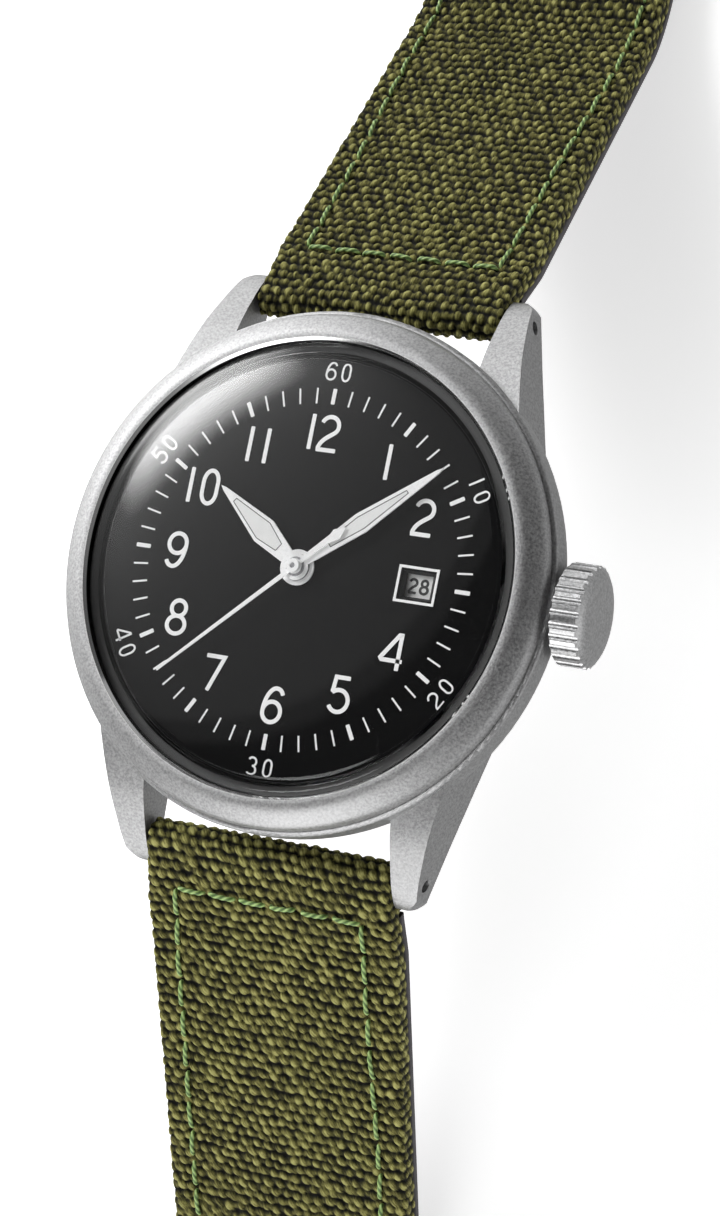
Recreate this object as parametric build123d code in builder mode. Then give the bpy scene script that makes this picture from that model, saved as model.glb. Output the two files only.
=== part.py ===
from build123d import *
import os
from math import sin, cos, tan, radians, degrees, pi, sqrt, atan2, hypot

os.makedirs("parts", exist_ok=True)

# Field watch. Millimetres. Origin: centre of the case back's outer face.
# +Z towards the dial side, +Y towards 12 o'clock, +X towards the crown.

# ---------------------------------------------------------------- driving sizes
dial_z = 7.0            # top face of the dial
case_r = 19.42          # mid-case band radius
bezel_d = 38.1          # bezel outer diameter
crystal_r = 16.65       # crystal outer radius
dial_r = 15.8
lug_width = 20.0        # strap width between the lugs
lug_end = 22.7          # lug tip distance from the centre
bar_y = 20.7            # spring bar distance from the centre
bar_z = 1.8             # spring bar height
crown_r = 3.72
crown_x0, crown_x1 = 19.6, 22.1
stem_z = 4.0            # height of the stem, crown and winding pinions
strap_t = 2.4           # strap thickness
# strap half width at distances from the centre
width_12 = [(18.0, 9.9), (23.0, 9.9), (27.0, 10.2), (48.0, 10.2), (92.0, 8.9)]
width_6 = [(18.0, 9.9), (23.0, 9.9), (25.5, 10.15), (48.0, 10.05), (96.0, 9.0), (132.0, 9.0)]
drop_12, drop_6 = 33.4, 33.0      # slope of the straight runs from the lugs, degrees
bend_12, bend_6 = 47.5, 49.0      # where the straight runs meet the bends
len_12, len_6 = 75.0, 115.0       # strap lengths, bar to bar and bar to tip
r_bend_6 = 18.0         # bend radius of the 6 o'clock strap, mid-plane
keeper_t = 0.9          # keeper loop wall
keeper_gap = 2.6        # room in a keeper for the other strap's tip
crown_pull = 1.2        # travel of the crown to the setting position


# ---------------------------------------------------------------- derived strap paths
# Each strap leaves its bar straight and downwards, bends back to level and lies flat.
def strap_path(drop, y1, r, length):
    """slope, end of the straight run, centre of the bend, level and end of the flat run"""
    s = radians(drop)
    z1 = bar_z - (y1 - bar_y) * tan(s)
    cy, cz = y1 + r * sin(s), z1 + r * cos(s)
    return s, y1, z1, r, cy, cz, cz - r, cy + length - (y1 - bar_y) / cos(s) - r * s


path_6 = strap_path(drop_6, bend_6, r_bend_6, len_6)
flat6_z, tip6_y = path_6[6], path_6[7]
stand_z = flat6_z - strap_t / 2
flat12_z = stand_z + keeper_t + 0.1 + strap_t / 2
r_bend_12 = (bar_z - (bend_12 - bar_y) * tan(radians(drop_12)) - flat12_z) / (1 - cos(radians(drop_12)))
path_12 = strap_path(drop_12, bend_12, r_bend_12, len_12)
buckle_y = path_12[7]
print("stand level", stand_z, "level 12", flat12_z, "buckle bar y", buckle_y, "tip y", tip6_y, "bend r", r_bend_12)
print("flat runs start at", path_12[4], path_6[4])


def gear_points(teeth, module, phase=0.0, add=0.8, ded=1.1):
    """closed outline of a spur gear about (0, 0); a tooth centre points to phase"""
    rp = teeth * module / 2
    ra, rf = rp + add * module, rp - ded * module
    pitch = 360.0 / teeth
    pts = []
    for i in range(teeth):
        a = phase + i * pitch
        for da, r in ((-0.27, rf), (-0.10, ra), (0.10, ra), (0.27, rf)):
            t = radians(a + da * pitch)
            pts.append((r * cos(t), r * sin(t)))
    return pts


def mate_phase(phase_a, teeth_a, line_deg, teeth_b):
    """phase of gear B that puts its gap on gear A's tooth along the line from A to B"""
    pa, pb = 360.0 / teeth_a, 360.0 / teeth_b
    f = ((line_deg - phase_a) / pa) % 1.0
    return line_deg + 180 + (f + 0.5) * pb


def shift(pts, c):
    return [(x + c[0], y + c[1]) for x, y in pts]


def polar(r, deg):
    return (r * cos(radians(deg)), r * sin(radians(deg)))


def spiral_points(r0, r1, turns, t, steps=20):
    n = int(turns * steps)
    out, inn = [], []
    for i in range(n + 1):
        a = 2 * pi * turns * i / n
        r = r0 + (r1 - r0) * i / n
        out.append(((r + t / 2) * cos(a), (r + t / 2) * sin(a)))
        inn.append(((r - t / 2) * cos(a), (r - t / 2) * sin(a)))
    return out + inn[::-1]


def clock(r, deg):
    """point at radius r, deg clockwise from 12 o'clock"""
    return (r * sin(radians(deg)), r * cos(radians(deg)))


# ================================================================ case
# One lug, in the +X +Y quadrant: a side profile, a plan outline and a leaning side facet.
def lug_x(y, z):
    return 17.67 - 0.26 * y - 0.03 * z


with BuildPart() as lug:
    with BuildSketch(Plane.YZ.offset(10.0)):
        with BuildLine():
            Polyline((22.0, 0.35), (17.5, 0.7), (12.0, 0.9), (9.0, 0.95), (9.0, 6.45), (12.5, 6.25))
            Spline((12.5, 6.25), (16.0, 5.5), (18.0, 4.75), (20.0, 3.6), (21.0, 2.95), (22.0, 2.1),
                   (lug_end - 0.1, 1.25), tangents=[(1, -0.1), (0.4, -1.0)])
            Spline((lug_end - 0.1, 1.25), (lug_end - 0.06, 0.75), (22.0, 0.35), tangents=[(0.2, -1), (-1, -0.02)])
        make_face()
    extrude(amount=7)
    with BuildSketch(Plane.XY) as lug_plan:
        with BuildLine():
            Polyline((10.0, 8.0), (18.0, 8.0), (18.0, 16.0), (12.4, 20.6))
            Spline((12.4, 20.6), (12.15, 21.6), (11.4, lug_end - 0.3), (10.0, lug_end),
                   tangents=[(-0.05, 1), (-1, 0)])
            Line((10.0, lug_end), (10.0, 8.0))
        make_face()
    extrude(amount=8, mode=Mode.INTERSECT)
    # leaning outer facet
    split(bisect_by=Plane(origin=(lug_x(0, 0), 0, 0), z_dir=(-1, -0.26, -0.03)), keep=Keep.TOP)

with BuildPart() as lug_pair:
    add(lug.part)
    mirror(lug.part, about=Plane.XZ)

with BuildPart() as mid_case:
    with BuildSketch(Plane.XZ):
        with BuildLine():
            Polyline((15.2, 2.6), (15.2, 6.55), (case_r - 0.3, 6.55))
            ThreePointArc((case_r - 0.3, 6.55), (case_r - 0.09, 6.46), (case_r, 6.25))
            Line((case_r, 6.25), (case_r, 4.9))
            Spline((case_r, 4.9), (18.8, 2.9), (17.0, 0.9), tangents=[(0, -1), (-0.8, -0.62)])
            Polyline((17.0, 0.9), (16.45, 0.9), (16.45, 1.15), (16.0, 1.15), (16.0, 2.6), (15.2, 2.6))
        make_face()
    revolve(axis=Axis.Z)
    add(lug_pair.part)
    mirror(lug_pair.part, about=Plane.YZ)
    # the bore again, where the lugs reached in
    with BuildSketch(Plane.XY.offset(0.9)):
        Circle(16.45)
    extrude(amount=0.25, mode=Mode.SUBTRACT)
    with BuildSketch(Plane.XY.offset(1.15)):
        Circle(16.0)
    extrude(amount=1.45, mode=Mode.SUBTRACT)
    with BuildSketch(Plane.XY.offset(2.6)):
        Circle(15.2)
    extrude(amount=4.0, mode=Mode.SUBTRACT)
    with BuildSketch(Plane.XY.offset(0.4)):
        Circle(16.6)
    extrude(amount=0.5, mode=Mode.SUBTRACT)
    # crown tube hole
    with BuildSketch(Plane.YZ.offset(14.5)):
        with Locations((0, stem_z)):
            Circle(1.25)
    extrude(amount=6, mode=Mode.SUBTRACT)
    # drilled lug holes
    with BuildSketch(Plane.YZ.offset(-17)):
        with Locations((bar_y, bar_z), (-bar_y, bar_z)):
            Circle(0.5)
    extrude(amount=34, mode=Mode.SUBTRACT)
mid_case.part.label = "mid_case"
export_step(mid_case.part, "parts/mid_case.step")

with BuildPart() as bezel:
    with BuildSketch(Plane.XZ):
        with BuildLine():
            Polyline((16.72, 6.55), (16.72, 8.2), (16.95, 8.45))
            Spline((16.95, 8.45), (17.6, 8.38), (18.55, 7.75), (19.05, 6.8),
                   tangents=[(1, 0.12), (0.12, -1)])
            Polyline((19.05, 6.8), (19.05, 6.55), (16.72, 6.55))
        make_face()
    revolve(axis=Axis.Z)
bezel.part.label = "bezel"
export_step(bezel.part, "parts/bezel.step")

dome_top, dome_edge = 9.5, (16.1, 8.27)       # outer dome: apex and edge
under_top, under_edge = 8.65, (15.55, 7.85)   # inner dome: apex and edge


def dome_z(top, edge, r):
    """height at radius r of a spherical dome through its apex and edge"""
    sag = top - edge[1]
    big = (edge[0] ** 2 + sag ** 2) / (2 * sag)
    return top - (big - sqrt(big ** 2 - r ** 2))


with BuildPart() as crystal:
    with BuildSketch(Plane.XZ):
        with BuildLine():
            Line((0, dome_top), (0, under_top))
            ThreePointArc((0, under_top), (7.8, dome_z(under_top, under_edge, 7.8)), under_edge)
            Polyline(under_edge, (15.95, 7.05), (crystal_r, 7.05), (crystal_r, 7.95), dome_edge)
            ThreePointArc(dome_edge, (8.0, dome_z(dome_top, dome_edge, 8.0)), (0, dome_top))
        make_face()
    revolve(axis=Axis.Z)
crystal.part.label = "crystal"
export_step(crystal.part, "parts/crystal.step")

with BuildPart() as crystal_gasket:
    with BuildSketch(Plane.XY.offset(6.55)):
        Circle(crystal_r)
        Circle(dial_r + 0.06, mode=Mode.SUBTRACT)
    extrude(amount=0.5)
crystal_gasket.part.label = "crystal_gasket"
export_step(crystal_gasket.part, "parts/crystal_gasket.step")

window = (9.28, 0.0, 2.5, 2.05)     # date window: centre x, y, width, height
with BuildPart() as dial:
    with BuildSketch(Plane.XY.offset(dial_z)):
        Circle(dial_r)
        Circle(1.15, mode=Mode.SUBTRACT)
        with Locations((window[0], window[1])):
            Rectangle(window[2], window[3], mode=Mode.SUBTRACT)
    extrude(amount=-0.4)
    with BuildSketch(Plane.XY.offset(dial_z - 0.4)):
        Circle(dial_r)
        Circle(15.1, mode=Mode.SUBTRACT)
    extrude(amount=-0.05)
    # two feet that locate the dial in the main plate
    with BuildSketch(Plane.XY.offset(dial_z - 0.4)):
        with Locations(polar(12.15, 70), polar(12.15, 250)):
            Circle(0.32)
    extrude(amount=-1.2)
dial.part.label = "dial"
export_step(dial.part, "parts/dial.step")

with BuildPart() as case_back:
    with BuildSketch(Plane.XY):
        Circle(16.5)
    extrude(amount=0.88)
    chamfer(case_back.faces().sort_by(Axis.Z)[0].edges(), length=0.6, length2=0.35)
    with BuildSketch(Plane.XY.offset(0.88)):
        Circle(15.95)
        Circle(15.3, mode=Mode.SUBTRACT)
    extrude(amount=1.6)
    # case wrench notches
    with BuildSketch(Plane.XY):
        with PolarLocations(15.1, 6):
            Rectangle(1.6, 2.2)
    extrude(amount=0.45, mode=Mode.SUBTRACT)
    # shallow turned step
    with BuildSketch(Plane.XY):
        Circle(13.2)
        Circle(12.9, mode=Mode.SUBTRACT)
    extrude(amount=0.15, mode=Mode.SUBTRACT)
case_back.part.label = "case_back"
export_step(case_back.part, "parts/case_back.step")

with BuildPart() as case_back_gasket:
    with BuildSketch(Plane.XY.offset(0.88)):
        Circle(16.42)
        Circle(16.03, mode=Mode.SUBTRACT)
    extrude(amount=0.26)
case_back_gasket.part.label = "case_back_gasket"
export_step(case_back_gasket.part, "parts/case_back_gasket.step")

with BuildPart() as movement_holder:
    with BuildSketch(Plane.XY.offset(2.65)):
        Circle(15.12)
        Circle(12.88, mode=Mode.SUBTRACT)
    extrude(amount=3.6)
    with BuildSketch(Plane.YZ.offset(12)):
        with Locations((0, stem_z)):
            Circle(1.0)
    extrude(amount=4, mode=Mode.SUBTRACT)
    with BuildSketch(Plane.XY.offset(4.2)):      # relief for the setting lever's end when the crown is out
        with Locations((13.1, 1.0)):
            Rectangle(1.3, 3.2)
    extrude(amount=1.45, mode=Mode.SUBTRACT)
movement_holder.part.label = "movement_holder"
export_step(movement_holder.part, "parts/movement_holder.step")

# ================================================================ crown and stem
with BuildPart() as crown_tube:
    with BuildSketch(Plane.YZ.offset(15.35)):
        with Locations((0, stem_z)):
            Circle(1.24)
            Circle(0.8, mode=Mode.SUBTRACT)
    extrude(amount=5.05)
crown_tube.part.label = "crown_tube"
export_step(crown_tube.part, "parts/crown_tube.step")

with BuildPart() as crown:
    with BuildSketch(Plane.XZ):
        with BuildLine():
            Polyline((crown_x0, stem_z), (crown_x0, stem_z + 3.45), (crown_x0 + 0.22, stem_z + crown_r),
                     (crown_x1 - 0.42, stem_z + crown_r), (crown_x1 - 0.12, stem_z + 3.25))
            Spline((crown_x1 - 0.12, stem_z + 3.25), (crown_x1 - 0.02, stem_z + 3.0), (crown_x1 + 0.06, stem_z),
                   tangents=[(0.5, -0.8), (0, -1)])
            Line((crown_x1 + 0.06, stem_z), (crown_x0, stem_z))
        make_face()
    revolve(axis=Axis((0, 0, stem_z), (1, 0, 0)))
    # rounded flutes
    with BuildSketch(Plane.YZ.offset(crown_x0 - 0.1)):
        with Locations((0, stem_z)):
            with PolarLocations(crown_r + 0.07, 26):
                Circle(0.3)
    extrude(amount=3, mode=Mode.SUBTRACT)
    # recess for the tube and the gasket
    with BuildSketch(Plane.YZ.offset(crown_x0 - 0.1)):
        with Locations((0, stem_z)):
            Circle(1.62)
    extrude(amount=1.45, mode=Mode.SUBTRACT)
    with BuildSketch(Plane.YZ.offset(crown_x0 + 1.2)):
        with Locations((0, stem_z)):
            Circle(0.46)
    extrude(amount=0.55, mode=Mode.SUBTRACT)
crown.part.label = "crown"
export_step(crown.part, "parts/crown.step")

with BuildPart() as crown_gasket:
    with BuildSketch(Plane.YZ.offset(19.75)):
        with Locations((0, stem_z)):
            Circle(1.58)
            Circle(1.27, mode=Mode.SUBTRACT)
    extrude(amount=0.5)
crown_gasket.part.label = "crown_gasket"
export_step(crown_gasket.part, "parts/crown_gasket.step")

groove_x = (11.38, 11.72)
with BuildPart() as winding_stem:
    with BuildSketch(Plane.YZ.offset(6.7)):
        with Locations((0, stem_z)):
            Rectangle(0.62, 0.62)
    extrude(amount=3.5)
    with BuildSketch(Plane.YZ.offset(10.1)):
        with Locations((0, stem_z)):
            Circle(0.45)
    extrude(amount=11.1)
    with BuildSketch(Plane.YZ.offset(groove_x[0])):
        with Locations((0, stem_z)):
            Circle(0.6)
            Circle(0.22, mode=Mode.SUBTRACT)
    extrude(amount=groove_x[1] - groove_x[0], mode=Mode.SUBTRACT)
winding_stem.part.label = "winding_stem"
export_step(winding_stem.part, "parts/winding_stem.step")

wind_mod = 0.15925
with BuildPart() as winding_pinion:
    with BuildSketch(Plane.YZ.offset(10.3)):
        with BuildLine():
            Polyline(*shift(gear_points(20, wind_mod, 0.0), (0, stem_z)), close=True)
        make_face()
    extrude(amount=0.85)
    with BuildSketch(Plane.YZ.offset(10.1)):
        with Locations((0, stem_z)):
            Circle(0.95)
    extrude(amount=0.2)
    with BuildSketch(Plane.YZ.offset(10.0)):
        with Locations((0, stem_z)):
            Circle(0.5)
    extrude(amount=1.3, mode=Mode.SUBTRACT)
    # clutch notches on the inner face
    with BuildSketch(Plane.YZ.offset(10.1)):
        with Locations((0, stem_z)):
            with PolarLocations(0.85, 8):
                Rectangle(0.35, 0.16)
    extrude(amount=0.12, mode=Mode.SUBTRACT)
winding_pinion.part.label = "winding_pinion"
export_step(winding_pinion.part, "parts/winding_pinion.step")

with BuildPart() as sliding_pinion:
    with BuildSketch(Plane.YZ.offset(8.35)):
        with Locations((0, stem_z)):
            Circle(1.15)
    extrude(amount=1.65)
    with BuildSketch(Plane.YZ.offset(8.98)):
        with Locations((0, stem_z)):
            Circle(1.3)
            Circle(0.84, mode=Mode.SUBTRACT)
    extrude(amount=0.36, mode=Mode.SUBTRACT)
    with BuildSketch(Plane.YZ.offset(8.3)):
        with Locations((0, stem_z)):
            Rectangle(0.72, 0.72)
    extrude(amount=2, mode=Mode.SUBTRACT)
    # clutch teeth towards the winding pinion and face teeth towards the setting wheel
    with BuildSketch(Plane.YZ.offset(8.35)):
        with Locations((0, stem_z)):
            with PolarLocations(1.05, 14):
                Rectangle(0.3, 0.2)
    extrude(amount=0.22, mode=Mode.SUBTRACT)
    with BuildSketch(Plane.YZ.offset(9.88)):
        with Locations((0, stem_z)):
            with PolarLocations(1.0, 8):
                Rectangle(0.4, 0.3)
    extrude(amount=0.2, mode=Mode.SUBTRACT)
sliding_pinion.part.label = "sliding_pinion"
export_step(sliding_pinion.part, "parts/sliding_pinion.step")

lever_c = (12.0, 2.6)       # setting lever pivot
pin_c = (11.55, 0.42)       # its pin in the stem's groove
with BuildPart() as setting_lever:
    with BuildSketch(Plane.XY.offset(5.08)):
        with Locations(lever_c):
            Circle(0.45)
        with Locations((11.72, 0.55)):
            Circle(0.3)
        with BuildLine():
            Polyline((11.5, 2.6), (11.44, 0.55), (12.0, 0.5), (12.42, 2.5), close=True)
        make_face()
        with Locations(lever_c):
            Circle(0.24, mode=Mode.SUBTRACT)
    extrude(amount=0.2)
    with BuildSketch(Plane.XY.offset(5.1)):
        with Locations(pin_c):
            Circle(0.11)
    extrude(amount=-1.15)
setting_lever.part.label = "setting_lever"
export_step(setting_lever.part, "parts/setting_lever.step")

yoke_c = (8.7, -3.3)
yoke_pin = (9.16, -1.0)
with BuildPart() as yoke:
    with BuildSketch(Plane.XY.offset(5.25)):
        with Locations(yoke_c):
            Circle(0.5)
        with Locations(yoke_pin):
            Circle(0.25)
        with BuildLine():
            Polyline((8.25, -3.2), (8.92, -1.05), (9.4, -1.05), (9.15, -3.2), close=True)
        make_face()
        with Locations(yoke_c):
            Circle(0.24, mode=Mode.SUBTRACT)
    extrude(amount=0.2)
    with BuildSketch(Plane.XY.offset(5.3)):
        with Locations(yoke_pin):
            Circle(0.09)
    extrude(amount=-1.4)
yoke.part.label = "yoke"
export_step(yoke.part, "parts/yoke.step")

# ================================================================ movement
centre = (0.0, 0.0)
barrel_c = polar(4.95, 50)
third_c = polar(4.5, 125)
escape_c = polar(4.45, 200)
balance_c = polar(8.2, 239.5)
eb = (balance_c[0] - escape_c[0], balance_c[1] - escape_c[1])
eb_l = hypot(*eb)
eb_u = (eb[0] / eb_l, eb[1] / eb_l)
eb_deg = degrees(atan2(eb_u[1], eb_u[0]))
pallet_c = (escape_c[0] + 2.54 * eb_u[0], escape_c[1] + 2.54 * eb_u[1])
minute_c = polar(3.0, -35)
setting_c = (minute_c[0] + sqrt(3.75 ** 2 - minute_c[1] ** 2), 0.0)
date_c = polar(3.6, 110)
crown_wheel_c = (8.3, 0.0)
click_c = (barrel_c[0] + 5.1 * cos(radians(62)), barrel_c[1] + 5.1 * sin(radians(62)))
screws = [polar(12.45, a) for a in (28, 95, 160, 300)]
cock_screw = polar(12.45, 239.5)

m_centre, m_third, m_fourth, m_barrel = 0.1, 9 / 85, 8.9 / 88, 0.11

with BuildPart() as main_plate:
    with BuildSketch(Plane.XY.offset(4.3)):
        Circle(12.8)
    extrude(amount=0.7)
    with BuildSketch(Plane.XY.offset(2.25)):
        Circle(12.8)
        Circle(12.1, mode=Mode.SUBTRACT)
    extrude(amount=2.1)
    with BuildSketch(Plane.XY.offset(5.0)):
        Circle(12.8)
        Circle(10.9, mode=Mode.SUBTRACT)
    extrude(amount=0.95)
    with BuildSketch(Plane.XY.offset(5.9)):
        Circle(12.8)
        Circle(11.55, mode=Mode.SUBTRACT)
    extrude(amount=0.5)
    # pocket for the setting lever and yoke, and the slot for stem and pinions
    with BuildSketch(Plane.XY.offset(5.0)):
        with Locations((9.6, -0.4)):
            Rectangle(7.2, 7.4)
    extrude(amount=1.0, mode=Mode.SUBTRACT)
    with BuildSketch(Plane.XY.offset(4.2)):
        with Locations((9.2, 0)):
            Rectangle(5.4, 3.7)
        with Locations((12.4, 0)):
            Rectangle(1.8, 2.2)
    extrude(amount=0.9, mode=Mode.SUBTRACT)
    with BuildSketch(Plane.YZ.offset(11.0)):
        with Locations((0, stem_z)):
            Circle(0.62)
    extrude(amount=3, mode=Mode.SUBTRACT)
    with BuildSketch(Plane.XY.offset(5.0)):
        with Locations((12.6, 1.2)):
            Rectangle(1.8, 4.6)
    extrude(amount=1.5, mode=Mode.SUBTRACT)
    # studs on the dial side
    with BuildSketch(Plane.XY.offset(5.0)):
        with Locations(minute_c, date_c, setting_c, lever_c, yoke_c):
            Circle(0.2)
    extrude(amount=0.4)
    with BuildSketch(Plane.XY.offset(5.0)):
        with Locations(minute_c, date_c):
            Circle(0.2)
    extrude(amount=0.95)
    # holes: centre tube, arbors, dial feet, bridge screws
    with BuildSketch(Plane.XY.offset(4.0)):
        Circle(0.52)
        with Locations(barrel_c):
            Circle(0.55)
        with Locations(third_c, escape_c, pallet_c, balance_c):
            Circle(0.16)
    extrude(amount=1.5, mode=Mode.SUBTRACT)
    with BuildSketch(Plane.XY.offset(5.2)):
        with Locations(polar(12.15, 70), polar(12.15, 250)):
            Circle(0.36)
    extrude(amount=1.5, mode=Mode.SUBTRACT)
    with BuildSketch(Plane.XY.offset(2.2)):
        with Locations(*screws, cock_screw):
            Circle(0.28)
    extrude(amount=1.2, mode=Mode.SUBTRACT)
    # seats for the pallet cock's feet
    with BuildSketch(Plane.XY.offset(4.2)):
        with Locations((pallet_c[0] - 2.75, pallet_c[1]), (pallet_c[0] + 2.75, pallet_c[1])):
            Circle(0.2)
    extrude(amount=0.4, mode=Mode.SUBTRACT)
main_plate.part.label = "main_plate"
export_step(main_plate.part, "parts/main_plate.step")

with BuildPart() as train_bridge:
    with BuildSketch(Plane.XY.offset(1.95)):
        Circle(12.8)
        with Locations(balance_c):
            Circle(4.4, mode=Mode.SUBTRACT)
        with Locations(polar(12.0, 239.5)):
            Rectangle(7.0, 7.0, rotation=239.5, mode=Mode.SUBTRACT)
        with Locations(barrel_c):
            Circle(0.5, mode=Mode.SUBTRACT)
        with Locations(centre, third_c, escape_c):
            Circle(0.16, mode=Mode.SUBTRACT)
        with Locations(*screws):
            Circle(0.28, mode=Mode.SUBTRACT)
    extrude(amount=0.3)
    # bearing post of the rotor, crown wheel stud and click stud
    with BuildSketch(Plane.XY.offset(1.97)):
        Circle(0.6)
        Circle(0.3, mode=Mode.SUBTRACT)
    extrude(amount=-0.97)
    with BuildSketch(Plane.XY.offset(2.23)):
        with Locations(crown_wheel_c):
            Circle(0.5)
        with Locations(click_c):
            Circle(0.22)
    extrude(amount=0.32)
train_bridge.part.label = "train_bridge"
export_step(train_bridge.part, "parts/train_bridge.step")

with BuildPart() as balance_cock:
    with BuildSketch(Plane.XY.offset(1.95)):
        with Locations(balance_c):
            Circle(1.3)
        with Locations(polar(10.4, 239.5)):
            Rectangle(4.4, 2.2, rotation=239.5)
        with Locations(balance_c):
            Circle(0.16, mode=Mode.SUBTRACT)
        with Locations(cock_screw):
            Circle(0.28, mode=Mode.SUBTRACT)
    extrude(amount=0.3)
    # stud that holds the hairspring's outer end
    with BuildSketch(Plane.XY.offset(2.2)):
        with Locations((balance_c[0] + 2.62 * cos(radians(239.5)), balance_c[1] + 2.62 * sin(radians(239.5)))):
            Circle(0.12)
    extrude(amount=0.4)
balance_cock.part.label = "balance_cock"
export_step(balance_cock.part, "parts/balance_cock.step")

with BuildPart() as pallet_cock:
    with BuildSketch(Plane.XY.offset(3.2)):
        with Locations(pallet_c):
            Rectangle(6.1, 0.7)
            Circle(0.16, mode=Mode.SUBTRACT)
    extrude(amount=0.16)
    with BuildSketch(Plane.XY.offset(3.3)):
        with Locations((pallet_c[0] - 2.75, pallet_c[1]), (pallet_c[0] + 2.75, pallet_c[1])):
            Circle(0.3)
    extrude(amount=1.0)
pallet_cock.part.label = "pallet_cock"
export_step(pallet_cock.part, "parts/pallet_cock.step")

# bridge screws: heads outside, shanks in the main plate's rim
with BuildPart() as bridge_screws:
    with BuildSketch(Plane.XY.offset(1.95)):
        with Locations(*screws, cock_screw):
            Circle(0.34)
    extrude(amount=-0.2)
    with BuildSketch(Plane.XY.offset(1.75)):
        with Locations(*screws, cock_screw):
            Rectangle(0.8, 0.12)
    extrude(amount=0.1, mode=Mode.SUBTRACT)
    with BuildSketch(Plane.XY.offset(1.9)):
        with Locations(*screws, cock_screw):
            Circle(0.24)
    extrude(amount=1.2)
bridge_screws.part.label = "bridge_screws"
export_step(bridge_screws.part, "parts/bridge_screws.step")

with BuildPart() as rotor:
    with BuildSketch(Plane.XY.offset(1.08)):
        Circle(12.55)
        with Locations((0, 7.5)):
            Rectangle(26, 15, mode=Mode.SUBTRACT)
        Circle(2.1)
        Circle(0.66, mode=Mode.SUBTRACT)
        with Locations(polar(5.6, 230), polar(5.6, 270), polar(5.6, 310)):
            Circle(1.5, mode=Mode.SUBTRACT)
    extrude(amount=0.2)
    with BuildSketch(Plane.XY.offset(1.2)):
        Circle(12.55)
        Circle(9.7, mode=Mode.SUBTRACT)
        with Locations((0, 7.5)):
            Rectangle(26, 15, mode=Mode.SUBTRACT)
    extrude(amount=0.5)
    with BuildSketch(Plane.XY.offset(1.2)):
        Circle(1.6)
        Circle(0.66, mode=Mode.SUBTRACT)
    extrude(amount=0.65)
rotor.part.label = "rotor"
export_step(rotor.part, "parts/rotor.step")

# ---- going train
with BuildPart() as mainspring_barrel:
    with BuildSketch(Plane.XY.offset(3.2)):
        with BuildLine():
            Polyline(*shift(gear_points(78, m_barrel, 230.0), barrel_c), close=True)
        make_face()
    extrude(amount=0.25)
    with BuildSketch(Plane.XY.offset(3.4)):
        with Locations(barrel_c):
            Circle(4.05)
    extrude(amount=0.8)
    with BuildSketch(Plane.XY.offset(3.42)):
        with Locations(barrel_c):
            Circle(3.85)
    extrude(amount=0.66, mode=Mode.SUBTRACT)
    with BuildSketch(Plane.XY.offset(3.1)):
        with Locations(barrel_c):
            Circle(0.5)
    extrude(amount=1.3, mode=Mode.SUBTRACT)
mainspring_barrel.part.label = "mainspring_barrel"
export_step(mainspring_barrel.part, "parts/mainspring_barrel.step")

with BuildPart() as barrel_arbor:
    with BuildSketch(Plane.XY.offset(2.0)):
        with Locations(barrel_c):
            Circle(0.44)
    extrude(amount=2.9)
    with BuildSketch(Plane.XY.offset(3.5)):
        with Locations(barrel_c):
            Circle(0.8)
    extrude(amount=0.5)
barrel_arbor.part.label = "barrel_arbor"
export_step(barrel_arbor.part, "parts/barrel_arbor.step")

with BuildPart() as mainspring:
    with BuildSketch(Plane.XY.offset(3.5)):
        with BuildLine():
            Polyline(*shift(spiral_points(1.1, 3.7, 7, 0.13), barrel_c), close=True)
        make_face()
    extrude(amount=0.5)
mainspring.part.label = "mainspring"
export_step(mainspring.part, "parts/mainspring.step")

with BuildPart() as ratchet_wheel:
    with BuildSketch(Plane.XY.offset(2.32)):
        with BuildLine():
            Polyline(*shift(gear_points(52, wind_mod, 0.0), barrel_c), close=True)
        make_face()
        with Locations(barrel_c):
            Circle(0.46, mode=Mode.SUBTRACT)
    extrude(amount=0.2)
ratchet_wheel.part.label = "ratchet_wheel"
export_step(ratchet_wheel.part, "parts/ratchet_wheel.step")

rc_deg = degrees(atan2(crown_wheel_c[1] - barrel_c[1], crown_wheel_c[0] - barrel_c[0]))
with BuildPart() as crown_wheel:
    with BuildSketch(Plane.XY.offset(2.32)):
        with BuildLine():
            Polyline(*shift(gear_points(28, wind_mod, mate_phase(0.0, 52, rc_deg, 28)), crown_wheel_c), close=True)
        make_face()
        with Locations(crown_wheel_c):
            Circle(0.55, mode=Mode.SUBTRACT)
    extrude(amount=0.2)
crown_wheel.part.label = "crown_wheel"
export_step(crown_wheel.part, "parts/crown_wheel.step")

ck_deg = degrees(atan2(click_c[1] - barrel_c[1], click_c[0] - barrel_c[0]))
with BuildPart() as click:
    with BuildSketch(Plane.XY.offset(2.32)):
        with Locations(click_c):
            Circle(0.55)
        with BuildLine():
            a = (barrel_c[0] + 4.34 * cos(radians(ck_deg + 16)), barrel_c[1] + 4.34 * sin(radians(ck_deg + 16)))
            b = (barrel_c[0] + 5.1 * cos(radians(ck_deg + 13)), barrel_c[1] + 5.1 * sin(radians(ck_deg + 13)))
            p = (barrel_c[0] + 4.72 * cos(radians(ck_deg)), barrel_c[1] + 4.72 * sin(radians(ck_deg)))
            q = (barrel_c[0] + 5.62 * cos(radians(ck_deg)), barrel_c[1] + 5.62 * sin(radians(ck_deg)))
            Polyline(a, b, q, p, close=True)
        make_face()
        with Locations(click_c):
            Circle(0.27, mode=Mode.SUBTRACT)
    extrude(amount=0.2)
click.part.label = "click"
export_step(click.part, "parts/click.step")

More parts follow.
